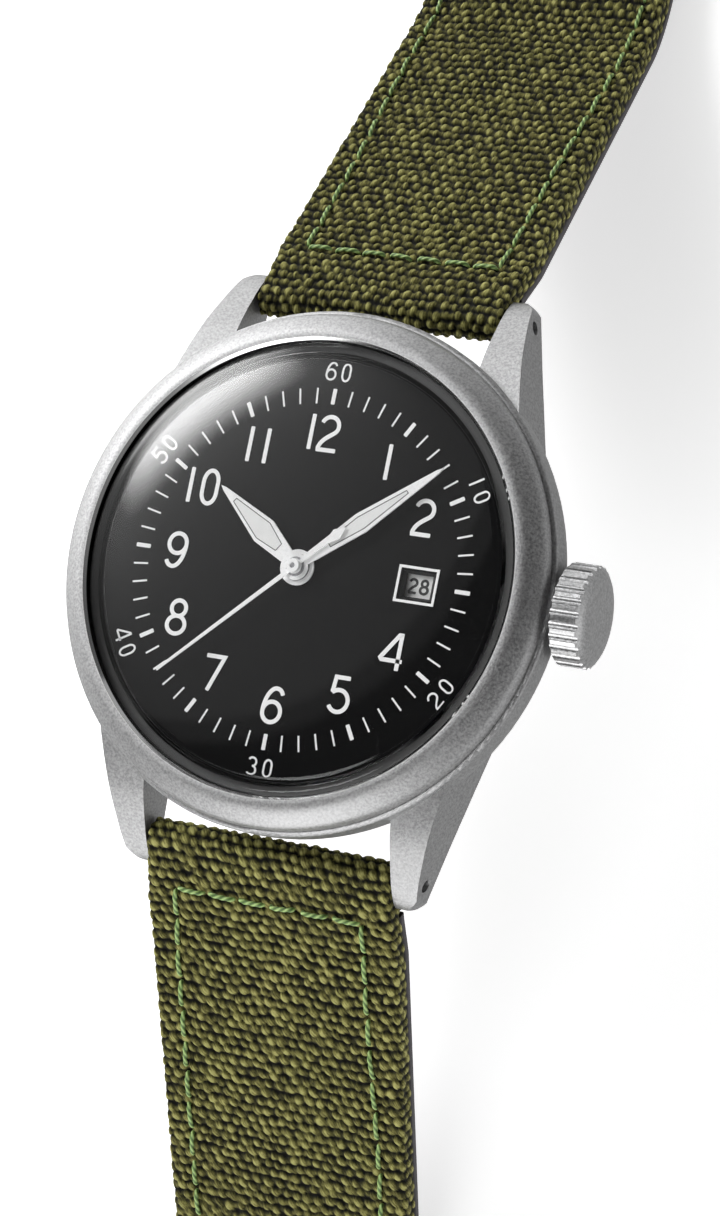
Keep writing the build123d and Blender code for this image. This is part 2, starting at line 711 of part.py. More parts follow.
with BuildPart() as center_wheel:
    with BuildSketch(Plane.XY.offset(3.0)):
        with BuildLine():
            Polyline(*gear_points(80, m_centre, 125.0), close=True)
        make_face()
        with PolarLocations(2.3, 5):
            Circle(0.95, mode=Mode.SUBTRACT)
    extrude(amount=0.12)
    with BuildSketch(Plane.XY.offset(3.1)):
        with BuildLine():
            Polyline(*gear_points(12, m_barrel, mate_phase(230.0, 78, 230.0, 12)), close=True)
        make_face()
    extrude(amount=0.4)
    with BuildSketch(Plane.XY.offset(3.4)):
        Circle(0.44)
    extrude(amount=4.34)
    with BuildSketch(Plane.XY.offset(2.9)):
        Circle(0.25)
    extrude(amount=5, mode=Mode.SUBTRACT)
center_wheel.part.label = "center_wheel"
export_step(center_wheel.part, "parts/center_wheel.step")

ph_third_pinion = mate_phase(125.0, 80, 125.0, 10)
with BuildPart() as third_wheel:
    with BuildSketch(Plane.XY.offset(2.8)):
        with BuildLine():
            Polyline(*shift(gear_points(75, m_third, 305.0), third_c), close=True)
        make_face()
        with Locations(third_c):
            with PolarLocations(2.3, 5):
                Circle(0.95, mode=Mode.SUBTRACT)
    extrude(amount=0.12)
    with BuildSketch(Plane.XY.offset(2.9)):
        with BuildLine():
            Polyline(*shift(gear_points(10, m_centre, ph_third_pinion), third_c), close=True)
        make_face()
    extrude(amount=0.32)
    with BuildSketch(Plane.XY.offset(2.32)):
        with Locations(third_c):
            Circle(0.2)
    extrude(amount=1.93)
    with BuildSketch(Plane.XY.offset(2.0)):
        with Locations(third_c):
            Circle(0.12)
    extrude(amount=2.9)
third_wheel.part.label = "third_wheel"
export_step(third_wheel.part, "parts/third_wheel.step")

with BuildPart() as fourth_wheel:
    with BuildSketch(Plane.XY.offset(2.6)):
        with BuildLine():
            Polyline(*gear_points(80, m_fourth, 200.0), close=True)
        make_face()
        with PolarLocations(2.3, 5, start_angle=20):
            Circle(0.95, mode=Mode.SUBTRACT)
    extrude(amount=0.12)
    with BuildSketch(Plane.XY.offset(2.7)):
        with BuildLine():
            Polyline(*gear_points(10, m_third, mate_phase(305.0, 75, 305.0, 10)), close=True)
        make_face()
    extrude(amount=0.25)
    with BuildSketch(Plane.XY.offset(2.32)):
        Circle(0.2)
    extrude(amount=5.93)
    with BuildSketch(Plane.XY.offset(2.0)):
        Circle(0.12)
    extrude(amount=0.5)
fourth_wheel.part.label = "fourth_wheel"
export_step(fourth_wheel.part, "parts/fourth_wheel.step")

with BuildPart() as escape_wheel:
    with BuildSketch(Plane.XY.offset(3.5)):
        with BuildLine():
            pts = []
            for i in range(15):
                a = eb_deg + 12 + 24 * i
                for da, r in ((-7.0, 1.62), (-1.6, 2.16), (0.0, 2.2), (0.6, 1.95), (4.0, 1.62)):
                    pts.append((escape_c[0] + r * cos(radians(a + da)), escape_c[1] + r * sin(radians(a + da))))
            Polyline(*pts, close=True)
        make_face()
        with Locations(escape_c):
            with PolarLocations(0.95, 4):
                Circle(0.4, mode=Mode.SUBTRACT)
    extrude(amount=0.14)
    with BuildSketch(Plane.XY.offset(2.54)):
        with BuildLine():
            Polyline(*shift(gear_points(8, m_fourth, mate_phase(200.0, 80, 200.0, 8), ded=0.95), escape_c), close=True)
        make_face()
    extrude(amount=0.3)
    with BuildSketch(Plane.XY.offset(2.32)):
        with Locations(escape_c):
            Circle(0.18)
    extrude(amount=1.93)
    with BuildSketch(Plane.XY.offset(2.0)):
        with Locations(escape_c):
            Circle(0.12)
    extrude(amount=2.9)
escape_wheel.part.label = "escape_wheel"
export_step(escape_wheel.part, "parts/escape_wheel.step")


def eb_point(c, along, side):
    """point measured along the line from the escape wheel to the balance, and to its side"""
    return (c[0] + along * eb_u[0] - side * eb_u[1], c[1] + along * eb_u[1] + side * eb_u[0])


with BuildPart() as pallet_fork:
    with BuildSketch(Plane.XY.offset(3.5)):
        with BuildLine():
            Polyline(
                eb_point(pallet_c, -0.52, -1.32), eb_point(pallet_c, -0.52, -1.05), eb_point(pallet_c, -0.18, -0.3),
                eb_point(pallet_c, -0.18, 0.3), eb_point(pallet_c, -0.52, 1.05), eb_point(pallet_c, -0.52, 1.32),
                eb_point(pallet_c, -0.1, 1.25), eb_point(pallet_c, 0.35, 0.2),
                eb_point(pallet_c, 1.6, 0.16), eb_point(pallet_c, 2.0, 0.75), eb_point(pallet_c, 2.38, 0.75),
                eb_point(pallet_c, 2.38, 0.46), eb_point(pallet_c, 2.1, 0.4), eb_point(pallet_c, 2.1, -0.4),
                eb_point(pallet_c, 2.38, -0.46),
                eb_point(pallet_c, 2.38, -0.75), eb_point(pallet_c, 2.0, -0.75), eb_point(pallet_c, 1.6, -0.16),
                eb_point(pallet_c, 0.35, -0.2), eb_point(pallet_c, -0.1, -1.25), close=True)
        make_face()
    extrude(amount=0.16)
    with BuildSketch(Plane.XY.offset(3.44)):
        with Locations(pallet_c):
            Circle(0.2)
    extrude(amount=0.8)
    with BuildSketch(Plane.XY.offset(3.22)):
        with Locations(pallet_c):
            Circle(0.12)
    extrude(amount=1.6)
pallet_fork.part.label = "pallet_fork"
export_step(pallet_fork.part, "parts/pallet_fork.step")

with BuildPart() as balance_wheel:
    with BuildSketch(Plane.XY.offset(2.78)):
        with Locations(balance_c):
            Circle(3.7)
            Circle(3.3, mode=Mode.SUBTRACT)
            Rectangle(7.0, 0.6)
            Circle(0.6)
    extrude(amount=0.3)
    with BuildSketch(Plane.XY.offset(2.3)):
        with Locations(balance_c):
            Circle(0.18)
    extrude(amount=1.94)
    # roller and its impulse jewel
    with BuildSketch(Plane.XY.offset(3.24)):
        with Locations(balance_c):
            Circle(0.8)
    extrude(amount=0.16)
    with BuildSketch(Plane.XY.offset(3.3)):
        with Locations(eb_point(balance_c, -0.6, 0)):
            Circle(0.11)
    extrude(amount=0.34)
    with BuildSketch(Plane.XY.offset(2.0)):
        with Locations(balance_c):
            Circle(0.12)
    extrude(amount=2.9)
balance_wheel.part.label = "balance_wheel"
export_step(balance_wheel.part, "parts/balance_wheel.step")

with BuildPart() as hairspring:
    with BuildSketch(Plane.XY.offset(2.45)):
        with BuildLine():
            Polyline(*shift(spiral_points(0.35, 2.4, 8, 0.05, 16), balance_c), close=True)
        make_face()
    extrude(amount=0.12)
hairspring.part.label = "hairspring"
export_step(hairspring.part, "parts/hairspring.step")

# ---- motion works and calendar, dial side
with BuildPart() as cannon_pinion:
    with BuildSketch(Plane.XY.offset(5.1)):
        with BuildLine():
            Polyline(*gear_points(12, 0.125, -35.0), close=True)
        make_face()
    extrude(amount=0.35)
    with BuildSketch(Plane.XY.offset(5.4)):
        Circle(0.72)
    extrude(amount=2.38)
    with BuildSketch(Plane.XY.offset(5.0)):
        Circle(0.48)
    extrude(amount=3, mode=Mode.SUBTRACT)
cannon_pinion.part.label = "cannon_pinion"
export_step(cannon_pinion.part, "parts/cannon_pinion.step")

ph_minute = mate_phase(-35.0, 12, -35.0, 36)
ph_minute_p = -35.0 + 180
with BuildPart() as minute_wheel:
    with BuildSketch(Plane.XY.offset(5.14)):
        with BuildLine():
            Polyline(*shift(gear_points(36, 0.125, ph_minute), minute_c), close=True)
        make_face()
    extrude(amount=0.18)
    with BuildSketch(Plane.XY.offset(5.3)):
        with BuildLine():
            Polyline(*shift(gear_points(10, 0.12, ph_minute_p), minute_c), close=True)
        make_face()
    extrude(amount=0.5)
    with BuildSketch(Plane.XY.offset(5.0)):
        with Locations(minute_c):
            Circle(0.25)
    extrude(amount=1, mode=Mode.SUBTRACT)
minute_wheel.part.label = "minute_wheel"
export_step(minute_wheel.part, "parts/minute_wheel.step")

with BuildPart() as setting_wheel:
    ms_deg = degrees(atan2(setting_c[1] - minute_c[1], setting_c[0] - minute_c[0]))
    with BuildSketch(Plane.XY.offset(5.12)):
        with BuildLine():
            Polyline(*shift(gear_points(24, 0.125, mate_phase(ph_minute, 36, ms_deg, 24)), setting_c), close=True)
        make_face()
        with Locations(setting_c):
            Circle(0.25, mode=Mode.SUBTRACT)
    extrude(amount=0.2)
setting_wheel.part.label = "setting_wheel"
export_step(setting_wheel.part, "parts/setting_wheel.step")

ph_hour = mate_phase(ph_minute_p, 10, ph_minute_p, 40)
with BuildPart() as hour_wheel:
    with BuildSketch(Plane.XY.offset(5.58)):
        with BuildLine():
            Polyline(*gear_points(40, 0.12, ph_hour), close=True)
        make_face()
    extrude(amount=0.2)
    with BuildSketch(Plane.XY.offset(5.75)):
        with BuildLine():
            Polyline(*gear_points(20, 0.12, 110.0), close=True)
        make_face()
    extrude(amount=0.27)
    with BuildSketch(Plane.XY.offset(5.9)):
        Circle(1.0)
    extrude(amount=1.56)
    with BuildSketch(Plane.XY.offset(5.5)):
        Circle(0.78)
    extrude(amount=2.2, mode=Mode.SUBTRACT)
hour_wheel.part.label = "hour_wheel"
export_step(hour_wheel.part, "parts/hour_wheel.step")

with BuildPart() as date_driving_wheel:
    with BuildSketch(Plane.XY.offset(5.84)):
        with BuildLine():
            Polyline(*shift(gear_points(40, 0.12, mate_phase(110.0, 20, 110.0, 40)), date_c), close=True)
        make_face()
    extrude(amount=0.16)
    # finger that moves the date ring
    with BuildSketch(Plane.XY.offset(5.98)):
        with Locations(date_c):
            Circle(0.7)
        with BuildLine():
            Polyline(shift([polar(0.6, 100)], date_c)[0], shift([polar(3.3, 108)], date_c)[0],
                     shift([polar(3.3, 113)], date_c)[0], shift([polar(0.6, 150)], date_c)[0], close=True)
        make_face()
    extrude(amount=0.25)
    with BuildSketch(Plane.XY.offset(5.8)):
        with Locations(date_c):
            Circle(0.24)
    extrude(amount=0.6, mode=Mode.SUBTRACT)
date_driving_wheel.part.label = "date_driving_wheel"
export_step(date_driving_wheel.part, "parts/date_driving_wheel.step")

with BuildPart() as date_ring:
    with BuildSketch(Plane.XY.offset(5.98)):
        Circle(11.45)
        with BuildLine():
            pts = []
            for i in range(31):
                a = 360.0 / 31 * i
                for da, r in ((-3.6, 7.75), (-1.2, 7.3), (1.2, 7.3), (3.6, 7.75)):
                    pts.append(polar(r, a + da))
            Polyline(*pts, close=True)
        make_face(mode=Mode.SUBTRACT)
    extrude(amount=0.3)
date_ring.part.label = "date_ring"
export_step(date_ring.part, "parts/date_ring.step")

with BuildPart() as date_jumper:
    with BuildSketch(Plane.XY.offset(5.98)):
        with BuildLine():
            Polyline(polar(7.0, 203), polar(7.22, 206), polar(6.6, 210), polar(5.2, 232), polar(4.4, 236),
                     polar(4.4, 228), polar(5.6, 222), close=True)
        make_face()
        with Locations(polar(4.6, 232)):
            Circle(0.6)
    extrude(amount=0.2)
    with BuildSketch(Plane.XY.offset(5.0)):
        with Locations(polar(4.6, 232)):
            Circle(0.3)
    extrude(amount=1.0)
date_jumper.part.label = "date_jumper"
export_step(date_jumper.part, "parts/date_jumper.step")

# ================================================================ hands
hour_deg, minute_deg, second_deg = 305.4, 49.1, 225.8      # clockwise from 12


def hand_point(deg, along, side):
    d = clock(1.0, deg)
    return (d[0] * along + d[1] * side, d[1] * along - d[0] * side)


hour_half = [(0.95, 0.52), (1.35, 0.60), (3.9, 1.02), (8.55, 0.16), (8.95, 0.0)]
hour_lume_half = [(2.15, 0.33), (3.95, 0.74), (7.3, 0.16)]
minute_half = [(0.6, 0.36), (3.0, 0.55), (5.8, 0.78), (12.55, 0.14), (13.0, 0.0)]
minute_lume_half = [(3.0, 0.24), (5.8, 0.5), (9.9, 0.12)]


def hand_outline(deg, half):
    left = [hand_point(deg, a, s) for a, s in half]
    right = [hand_point(deg, a, -s) for a, s in reversed(half) if s > 0]
    return left + right


with BuildPart() as hour_hand:
    with BuildSketch(Plane.XY.offset(7.3)):
        Circle(1.32)
        with BuildLine():
            Polyline(*hand_outline(hour_deg, hour_half), close=True)
        make_face()
        Circle(1.0, mode=Mode.SUBTRACT)
        with BuildLine():
            Polyline(*hand_outline(hour_deg, hour_lume_half), close=True)
        make_face(mode=Mode.SUBTRACT)
    extrude(amount=0.15)
hour_hand.part.label = "hour_hand"
export_step(hour_hand.part, "parts/hour_hand.step")

with BuildPart() as hour_lume:
    with BuildSketch(Plane.XY.offset(7.31)):
        with BuildLine():
            Polyline(*hand_outline(hour_deg, hour_lume_half), close=True)
        make_face()
    extrude(amount=0.14)
hour_lume.part.label = "hour_lume"
export_step(hour_lume.part, "parts/hour_lume.step")

with BuildPart() as minute_hand:
    with BuildSketch(Plane.XY.offset(7.6)):
        Circle(0.98)
        with BuildLine():
            Polyline(*hand_outline(minute_deg, minute_half), close=True)
        make_face()
        Circle(0.72, mode=Mode.SUBTRACT)
        with BuildLine():
            Polyline(*hand_outline(minute_deg, minute_lume_half), close=True)
        make_face(mode=Mode.SUBTRACT)
    extrude(amount=0.14)
minute_hand.part.label = "minute_hand"
export_step(minute_hand.part, "parts/minute_hand.step")

with BuildPart() as minute_lume:
    with BuildSketch(Plane.XY.offset(7.61)):
        with BuildLine():
            Polyline(*hand_outline(minute_deg, minute_lume_half), close=True)
        make_face()
    extrude(amount=0.13)
minute_lume.part.label = "minute_lume"
export_step(minute_lume.part, "parts/minute_lume.step")

seconds_half = [(0.2, 0.17), (12.9, 0.10)]
tail_half = [(0.2, 0.14), (2.7, 0.12), (3.2, 0.2), (3.9, 0.44), (4.75, 0.0)]
with BuildPart() as seconds_hand:
    with BuildSketch(Plane.XY.offset(7.86)):
        Circle(0.56)
        with BuildLine():
            Polyline(*hand_outline(second_deg, seconds_half), close=True)
        make_face()
        with BuildLine():
            Polyline(*hand_outline(second_deg + 180, tail_half), close=True)
        make_face()
        Circle(0.2, mode=Mode.SUBTRACT)
    extrude(amount=0.08)
    with BuildSketch(Plane.XY.offset(7.86)):
        Circle(0.5)
        Circle(0.2, mode=Mode.SUBTRACT)
    extrude(amount=0.46)
seconds_hand.part.label = "seconds_hand"
export_step(seconds_hand.part, "parts/seconds_hand.step")

# ================================================================ spring bars
with BuildPart() as spring_bar_12:
    with BuildSketch(Plane.YZ.offset(-9.75)):
        with Locations((bar_y, bar_z)):
            Circle(0.9)
    extrude(amount=19.5)
    with BuildSketch(Plane.YZ.offset(5.0)):
        with Locations((bar_y, bar_z)):
            Circle(0.5)
    extrude(amount=5, mode=Mode.SUBTRACT)
    with BuildSketch(Plane.YZ.offset(-11.8)):
        with Locations((bar_y, bar_z)):
            Circle(0.45)
    extrude(amount=2.1)
spring_bar_12.part.label = "spring_bar_12"
export_step(spring_bar_12.part, "parts/spring_bar_12.step")

with BuildPart() as spring_bar_12_tip:
    with BuildSketch(Plane.YZ.offset(7.4)):
        with Locations((bar_y, bar_z)):
            Circle(0.45)
    extrude(amount=4.4)
spring_bar_12_tip.part.label = "spring_bar_12_tip"
export_step(spring_bar_12_tip.part, "parts/spring_bar_12_tip.step")

with BuildPart() as spring_bar_6:
    with BuildSketch(Plane.YZ.offset(-9.75)):
        with Locations((-bar_y, bar_z)):
            Circle(0.9)
    extrude(amount=19.5)
    with BuildSketch(Plane.YZ.offset(5.0)):
        with Locations((-bar_y, bar_z)):
            Circle(0.5)
    extrude(amount=5, mode=Mode.SUBTRACT)
    with BuildSketch(Plane.YZ.offset(-11.8)):
        with Locations((-bar_y, bar_z)):
            Circle(0.45)
    extrude(amount=2.1)
spring_bar_6.part.label = "spring_bar_6"
export_step(spring_bar_6.part, "parts/spring_bar_6.step")

with BuildPart() as spring_bar_6_tip:
    with BuildSketch(Plane.YZ.offset(7.4)):
        with Locations((-bar_y, bar_z)):
            Circle(0.45)
    extrude(amount=4.4)
spring_bar_6_tip.part.label = "spring_bar_6_tip"
export_step(spring_bar_6_tip.part, "parts/spring_bar_6_tip.step")

# ================================================================ straps
# A strap section is drawn in the YZ plane between two offsets of the mid-plane path.
# Offsets are positive towards the outer face, which is the upper one here.
split_off = -0.3        # canvas above this offset, lining below it


def edge_points(path, off):
    """start and end of the straight run, middle and end of the bend, for one offset"""
    s, y1, z1, r, cy, cz = path[:6]
    start = (bar_y + sin(s) * off, bar_z + cos(s) * off)
    end = (y1 + sin(s) * off, z1 + cos(s) * off)
    mid = (cy - (r - off) * sin(s / 2), cz - (r - off) * cos(s / 2))
    last = (cy, cz - (r - off))
    return start, end, mid, last


def on_side(p, s):
    return (p[0] * s, p[1])


for name, side, path, widths in (("strap_12", 1, path_12, width_12), ("strap_6", -1, path_6, width_6)):
    level, end_y = path[6], path[7]
    for layer, hi, lo, first in (("canvas", strap_t / 2, split_off, 0.0), ("lining", split_off, -strap_t / 2, 3.2)):
        h = edge_points(path, hi)
        l = edge_points(path, lo)
        d = (cos(path[0]), -sin(path[0]))
        hs = (h[0][0] + d[0] * first, h[0][1] + d[1] * first)
        ls = (l[0][0] + d[0] * first, l[0][1] + d[1] * first)
        flat_end = end_y - (3.4 if layer == "lining" and side > 0 else 0.0)
        he = (flat_end, level + hi)
        le = (flat_end, level + lo)
        with BuildPart() as strap_layer:
            with BuildSketch(Plane.YZ.offset(-11)):
                with BuildLine():
                    Line(on_side(hs, side), on_side(h[1], side))
                    ThreePointArc(on_side(h[1], side), on_side(h[2], side), on_side(h[3], side))
                    Line(on_side(h[3], side), on_side(he, side))
                    Line(on_side(he, side), on_side(le, side))
                    Line(on_side(le, side), on_side(l[3], side))
                    ThreePointArc(on_side(l[3], side), on_side(l[2], side), on_side(l[1], side))
                    Line(on_side(l[1], side), on_side(ls, side))
                    Line(on_side(ls, side), on_side(hs, side))
                make_face()
                if layer == "canvas":
                    with Locations(on_side((bar_y, bar_z), side)):
                        Circle(1.45)
                        Circle(0.98, mode=Mode.SUBTRACT)
                    if side > 0:
                        with Locations((buckle_y, level)):
                            Circle(1.25)
                            Circle(0.83, mode=Mode.SUBTRACT)
            extrude(amount=22)
            # the strap's width in plan
            with BuildSketch(Plane.XY.offset(stand_z - 1)):
                with BuildLine():
                    Polyline([(w, y * side) for y, w in widths] + [(-w, y * side) for y, w in reversed(widths)],
                             close=True)
                make_face()
            extrude(amount=30, mode=Mode.INTERSECT)
            if side > 0:
                # slot for the buckle's tongue
                with BuildSketch(Plane.XY.offset(level - 3)):
                    with Locations((0, end_y - 0.9)):
                        Rectangle(2.3, 6.6)
                extrude(amount=6, mode=Mode.SUBTRACT)
            else:
                # adjustment holes on the flat run and a rounded tip
                with BuildSketch(Plane.XY.offset(level - 3)):
                    with Locations(*[(0, -(tip6_y - 20 - 6.5 * i)) for i in range(7)]):
                        Circle(0.9)
                extrude(amount=6, mode=Mode.SUBTRACT)
                with BuildSketch(Plane.XY.offset(level - 3)):
                    with BuildLine():
                        Polyline((-12, -tip6_y + 6.5), (-9.0, -tip6_y + 6.5))
                        ThreePointArc((-9.0, -tip6_y + 6.5), (0, -tip6_y), (9.0, -tip6_y + 6.5))
                        Polyline((9.0, -tip6_y + 6.5), (12, -tip6_y + 6.5), (12, -tip6_y - 3),
                                 (-12, -tip6_y - 3), (-12, -tip6_y + 6.5))
                    make_face()
                extrude(amount=6, mode=Mode.SUBTRACT)
        node = name + "_" + layer
        strap_layer.part.label = node
        export_step(strap_layer.part, "parts/" + node + ".step")

# ================================================================ buckle and keepers
with BuildPart() as buckle_bar:
    with BuildSketch(Plane.YZ.offset(-11.2)):
        with Locations((buckle_y, flat12_z)):
            Circle(0.75)
    extrude(amount=22.4)
buckle_bar.part.label = "buckle_bar"
export_step(buckle_bar.part, "parts/buckle_bar.step")

with BuildPart() as buckle_frame:
    with BuildSketch(Plane.XY.offset(flat12_z - 1.0)):
        with Locations((0, buckle_y + 5.35)):
            RectangleRounded(22.8, 13.5, 2.2)
        with Locations((0, buckle_y + 4.0)):
            RectangleRounded(18.9, 11.6, 1.2, mode=Mode.SUBTRACT)
        with Locations((0, buckle_y - 1.4)):
            Rectangle(18.9, 6.0, mode=Mode.SUBTRACT)
    extrude(amount=2.0)
    fillet(buckle_frame.edges().filter_by(Plane.XY), radius=0.35)
    with BuildSketch(Plane.YZ.offset(-12)):
        with Locations((buckle_y, flat12_z)):
            Circle(0.8)
    extrude(amount=24, mode=Mode.SUBTRACT)
    # rest for the tongue in the front bar
    with BuildSketch(Plane.XY.offset(flat12_z + 0.75)):
        with Locations((0, buckle_y + 10.9)):
            Rectangle(2.0, 3.4)
    extrude(amount=0.35, mode=Mode.SUBTRACT)
buckle_frame.part.label = "buckle_frame"
export_step(buckle_frame.part, "parts/buckle_frame.step")

with BuildPart() as buckle_tongue:
    with BuildSketch(Plane.YZ.offset(-0.8)):
        with Locations((buckle_y, flat12_z)):
            Circle(1.45)
        with BuildLine():
            Polyline((buckle_y - 0.2, flat12_z + 1.44), (buckle_y + 12.5, flat12_z + 2.05),
                     (buckle_y + 12.7, flat12_z + 1.5), (buckle_y + 9.0, flat12_z + 0.86),
                     (buckle_y + 1.2, flat12_z - 0.1), close=True)
        make_face()
        with Locations((buckle_y, flat12_z)):
            Circle(0.81, mode=Mode.SUBTRACT)
    extrude(amount=1.6)
buckle_tongue.part.label = "buckle_tongue"
export_step(buckle_tongue.part, "parts/buckle_tongue.step")

# keepers: flat loops round the strap, with room above it for the other strap's tip
loop_h = strap_t + 0.1 + keeper_gap          # inner height
for keeper, half, y0 in (("fixed_keeper", 9.35, buckle_y - 8.4), ("sliding_keeper", 10.05, 66.0)):
    with BuildPart() as loop:
        with BuildSketch(Plane.XZ.offset(-y0)):
            with Locations((0, stand_z + keeper_t + loop_h / 2)):
                RectangleRounded(2 * (half + keeper_t), loop_h + 2 * keeper_t, 1.2)
                RectangleRounded(2 * half, loop_h, 0.3, mode=Mode.SUBTRACT)
        extrude(amount=-5.0)
    loop.part.label = keeper
    export_step(loop.part, "parts/" + keeper + ".step")
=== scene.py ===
import bpy
import math
import numpy as np
from mathutils import Vector, Matrix


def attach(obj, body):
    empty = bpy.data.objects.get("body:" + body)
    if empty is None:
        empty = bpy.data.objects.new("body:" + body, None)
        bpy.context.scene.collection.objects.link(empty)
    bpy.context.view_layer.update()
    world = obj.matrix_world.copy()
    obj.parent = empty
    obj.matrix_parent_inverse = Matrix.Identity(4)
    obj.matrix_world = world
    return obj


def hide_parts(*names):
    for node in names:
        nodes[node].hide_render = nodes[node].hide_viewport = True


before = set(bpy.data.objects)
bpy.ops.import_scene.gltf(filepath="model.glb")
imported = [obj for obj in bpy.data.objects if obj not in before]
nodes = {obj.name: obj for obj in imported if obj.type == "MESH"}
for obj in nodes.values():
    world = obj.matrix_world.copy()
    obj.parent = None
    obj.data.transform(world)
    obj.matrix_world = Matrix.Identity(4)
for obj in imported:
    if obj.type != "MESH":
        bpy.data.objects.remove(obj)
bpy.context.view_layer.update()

# Field watch. Lengths below are in millimetres unless a name ends in _m; meshes are written in metres.
MM = 0.001
scene = bpy.context.scene
rng = np.random.default_rng(7)

# ------------------------------------------------------------------ camera
cam_data = bpy.data.cameras.new("photo_camera")
cam = bpy.data.objects.new("photo_camera", cam_data)
scene.collection.objects.link(cam)
cam_right = Vector((0.90520642, 0.19487643, -0.37785716))
cam_up = Vector((-0.1386011, 0.97553597, 0.17101772))
cam_back = Vector((0.40193274, -0.10241858, 0.91010988))
pose = Matrix((cam_right, cam_up, cam_back)).transposed().to_4x4()
pose.translation = Vector((95.998, -25.297, 212.607)) * MM
cam.matrix_world = pose
cam_data.sensor_width = 36.0
cam_data.lens = 93.28
cam_data.clip_start = 0.005
cam_data.clip_end = 20.0
scene.camera = cam
scene.view_settings.view_transform = "Standard"
scene.view_settings.look = "None"


# ------------------------------------------------------------------ material helpers
class Nodes:
    """A small builder for one material's nodes."""

    def __init__(self, name):
        self.mat = bpy.data.materials.new(name)
        self.mat.use_nodes = True
        self.nt = self.mat.node_tree
        self.nt.nodes.clear()
        self.out = self.nt.nodes.new("ShaderNodeOutputMaterial")
        self.bsdf = self.nt.nodes.new("ShaderNodeBsdfPrincipled")
        self.link(self.bsdf.outputs[0], self.out.inputs["Surface"])

    def link(self, a, b):
        self.nt.links.new(a, b)

    def node(self, kind, **inputs):
        n = self.nt.nodes.new(kind)
        for k, v in inputs.items():
            if hasattr(n, k) and not k[0].isupper():
                setattr(n, k, v)
            else:
                n.inputs[k.replace("_", " ")].default_value = v
        return n

    def coords(self):
        return self.node("ShaderNodeTexCoord").outputs["Object"]

    def attribute(self, name, out="Fac"):
        n = self.nt.nodes.new("ShaderNodeAttribute")
        n.attribute_name = name
        return n.outputs[out]

    def math(self, op, a, b=None, clamp=False):
        n = self.nt.nodes.new("ShaderNodeMath")
        n.operation = op
        n.use_clamp = clamp
        for i, v in enumerate((a, b)):
            if v is None:
                continue
            if isinstance(v, (int, float)):
                n.inputs[i].default_value = v
            else:
                self.link(v, n.inputs[i])
        return n.outputs[0]

    def noise(self, scale, detail=2.0, rough=0.5, vector=None, out="Fac"):
        n = self.node("ShaderNodeTexNoise")
        n.inputs["Scale"].default_value = scale
        n.inputs["Detail"].default_value = detail
        n.inputs["Roughness"].default_value = rough
        self.link(vector if vector is not None else self.coords(), n.inputs["Vector"])
        return n.outputs[out]

    def scaled(self, vector, s, rotation=(0, 0, 0)):
        n = self.nt.nodes.new("ShaderNodeMapping")
        n.inputs["Scale"].default_value = s
        n.inputs["Rotation"].default_value = rotation
        self.link(vector, n.inputs["Vector"])
        return n.outputs[0]

    def ramp(self, fac, stops):
        n = self.nt.nodes.new("ShaderNodeValToRGB")
        els = n.color_ramp.elements
        while len(els) < len(stops):
            els.new(0.5)
        for e, (p, c) in zip(els, stops):
            e.position = p
            e.color = (c, c, c, 1) if isinstance(c, (int, float)) else (*c, 1)
        self.link(fac, n.inputs[0])
        return n.outputs[0]

    def mix(self, fac, a, b, blend="MIX"):
        n = self.nt.nodes.new("ShaderNodeMix")
        n.data_type = "RGBA"
        n.blend_type = blend
        for sock, v in ((n.inputs[0], fac), (n.inputs[6], a), (n.inputs[7], b)):
            if isinstance(v, (int, float)):
                sock.default_value = v if sock.type == "VALUE" else (v, v, v, 1)
            elif isinstance(v, tuple):
                sock.default_value = (*v, 1)
            else:
                self.link(v, sock)
        return n.outputs[2]

    def range(self, v, lo, hi, to_lo, to_hi, smooth=False):
        n = self.nt.nodes.new("ShaderNodeMapRange")
        if smooth:
            n.interpolation_type = "SMOOTHSTEP"
        n.inputs["From Min"].default_value = lo
        n.inputs["From Max"].default_value = hi
        n.inputs["To Min"].default_value = to_lo
        n.inputs["To Max"].default_value = to_hi
        self.link(v, n.inputs["Value"])
        return n.outputs["Result"]

    def bump(self, height, strength, distance_m, normal=None):
        n = self.nt.nodes.new("ShaderNodeBump")
        n.inputs["Strength"].default_value = strength
        n.inputs["Distance"].default_value = distance_m
        self.link(height, n.inputs["Height"])
        if normal is not None:
            self.link(normal, n.inputs["Normal"])
        return n.outputs[0]

    def radius(self, axis="Z"):
        """distance from the Z axis, in metres"""
        s = self.nt.nodes.new("ShaderNodeSeparateXYZ")
        self.link(self.coords(), s.inputs[0])
        a, b = {"Z": ("X", "Y"), "X": ("Y", "Z")}[axis]
        x2 = self.math("MULTIPLY", s.outputs[a], s.outputs[a])
        y2 = self.math("MULTIPLY", s.outputs[b], s.outputs[b])
        return self.math("SQRT", self.math("ADD", x2, y2)), s

    def set(self, **values):
        for k, v in values.items():
            sock = self.bsdf.inputs[k.replace("_", " ")]
            if isinstance(v, (int, float)):
                sock.default_value = v
            elif isinstance(v, tuple):
                sock.default_value = (*v, 1)
            else:
                self.link(v, sock)
        return self


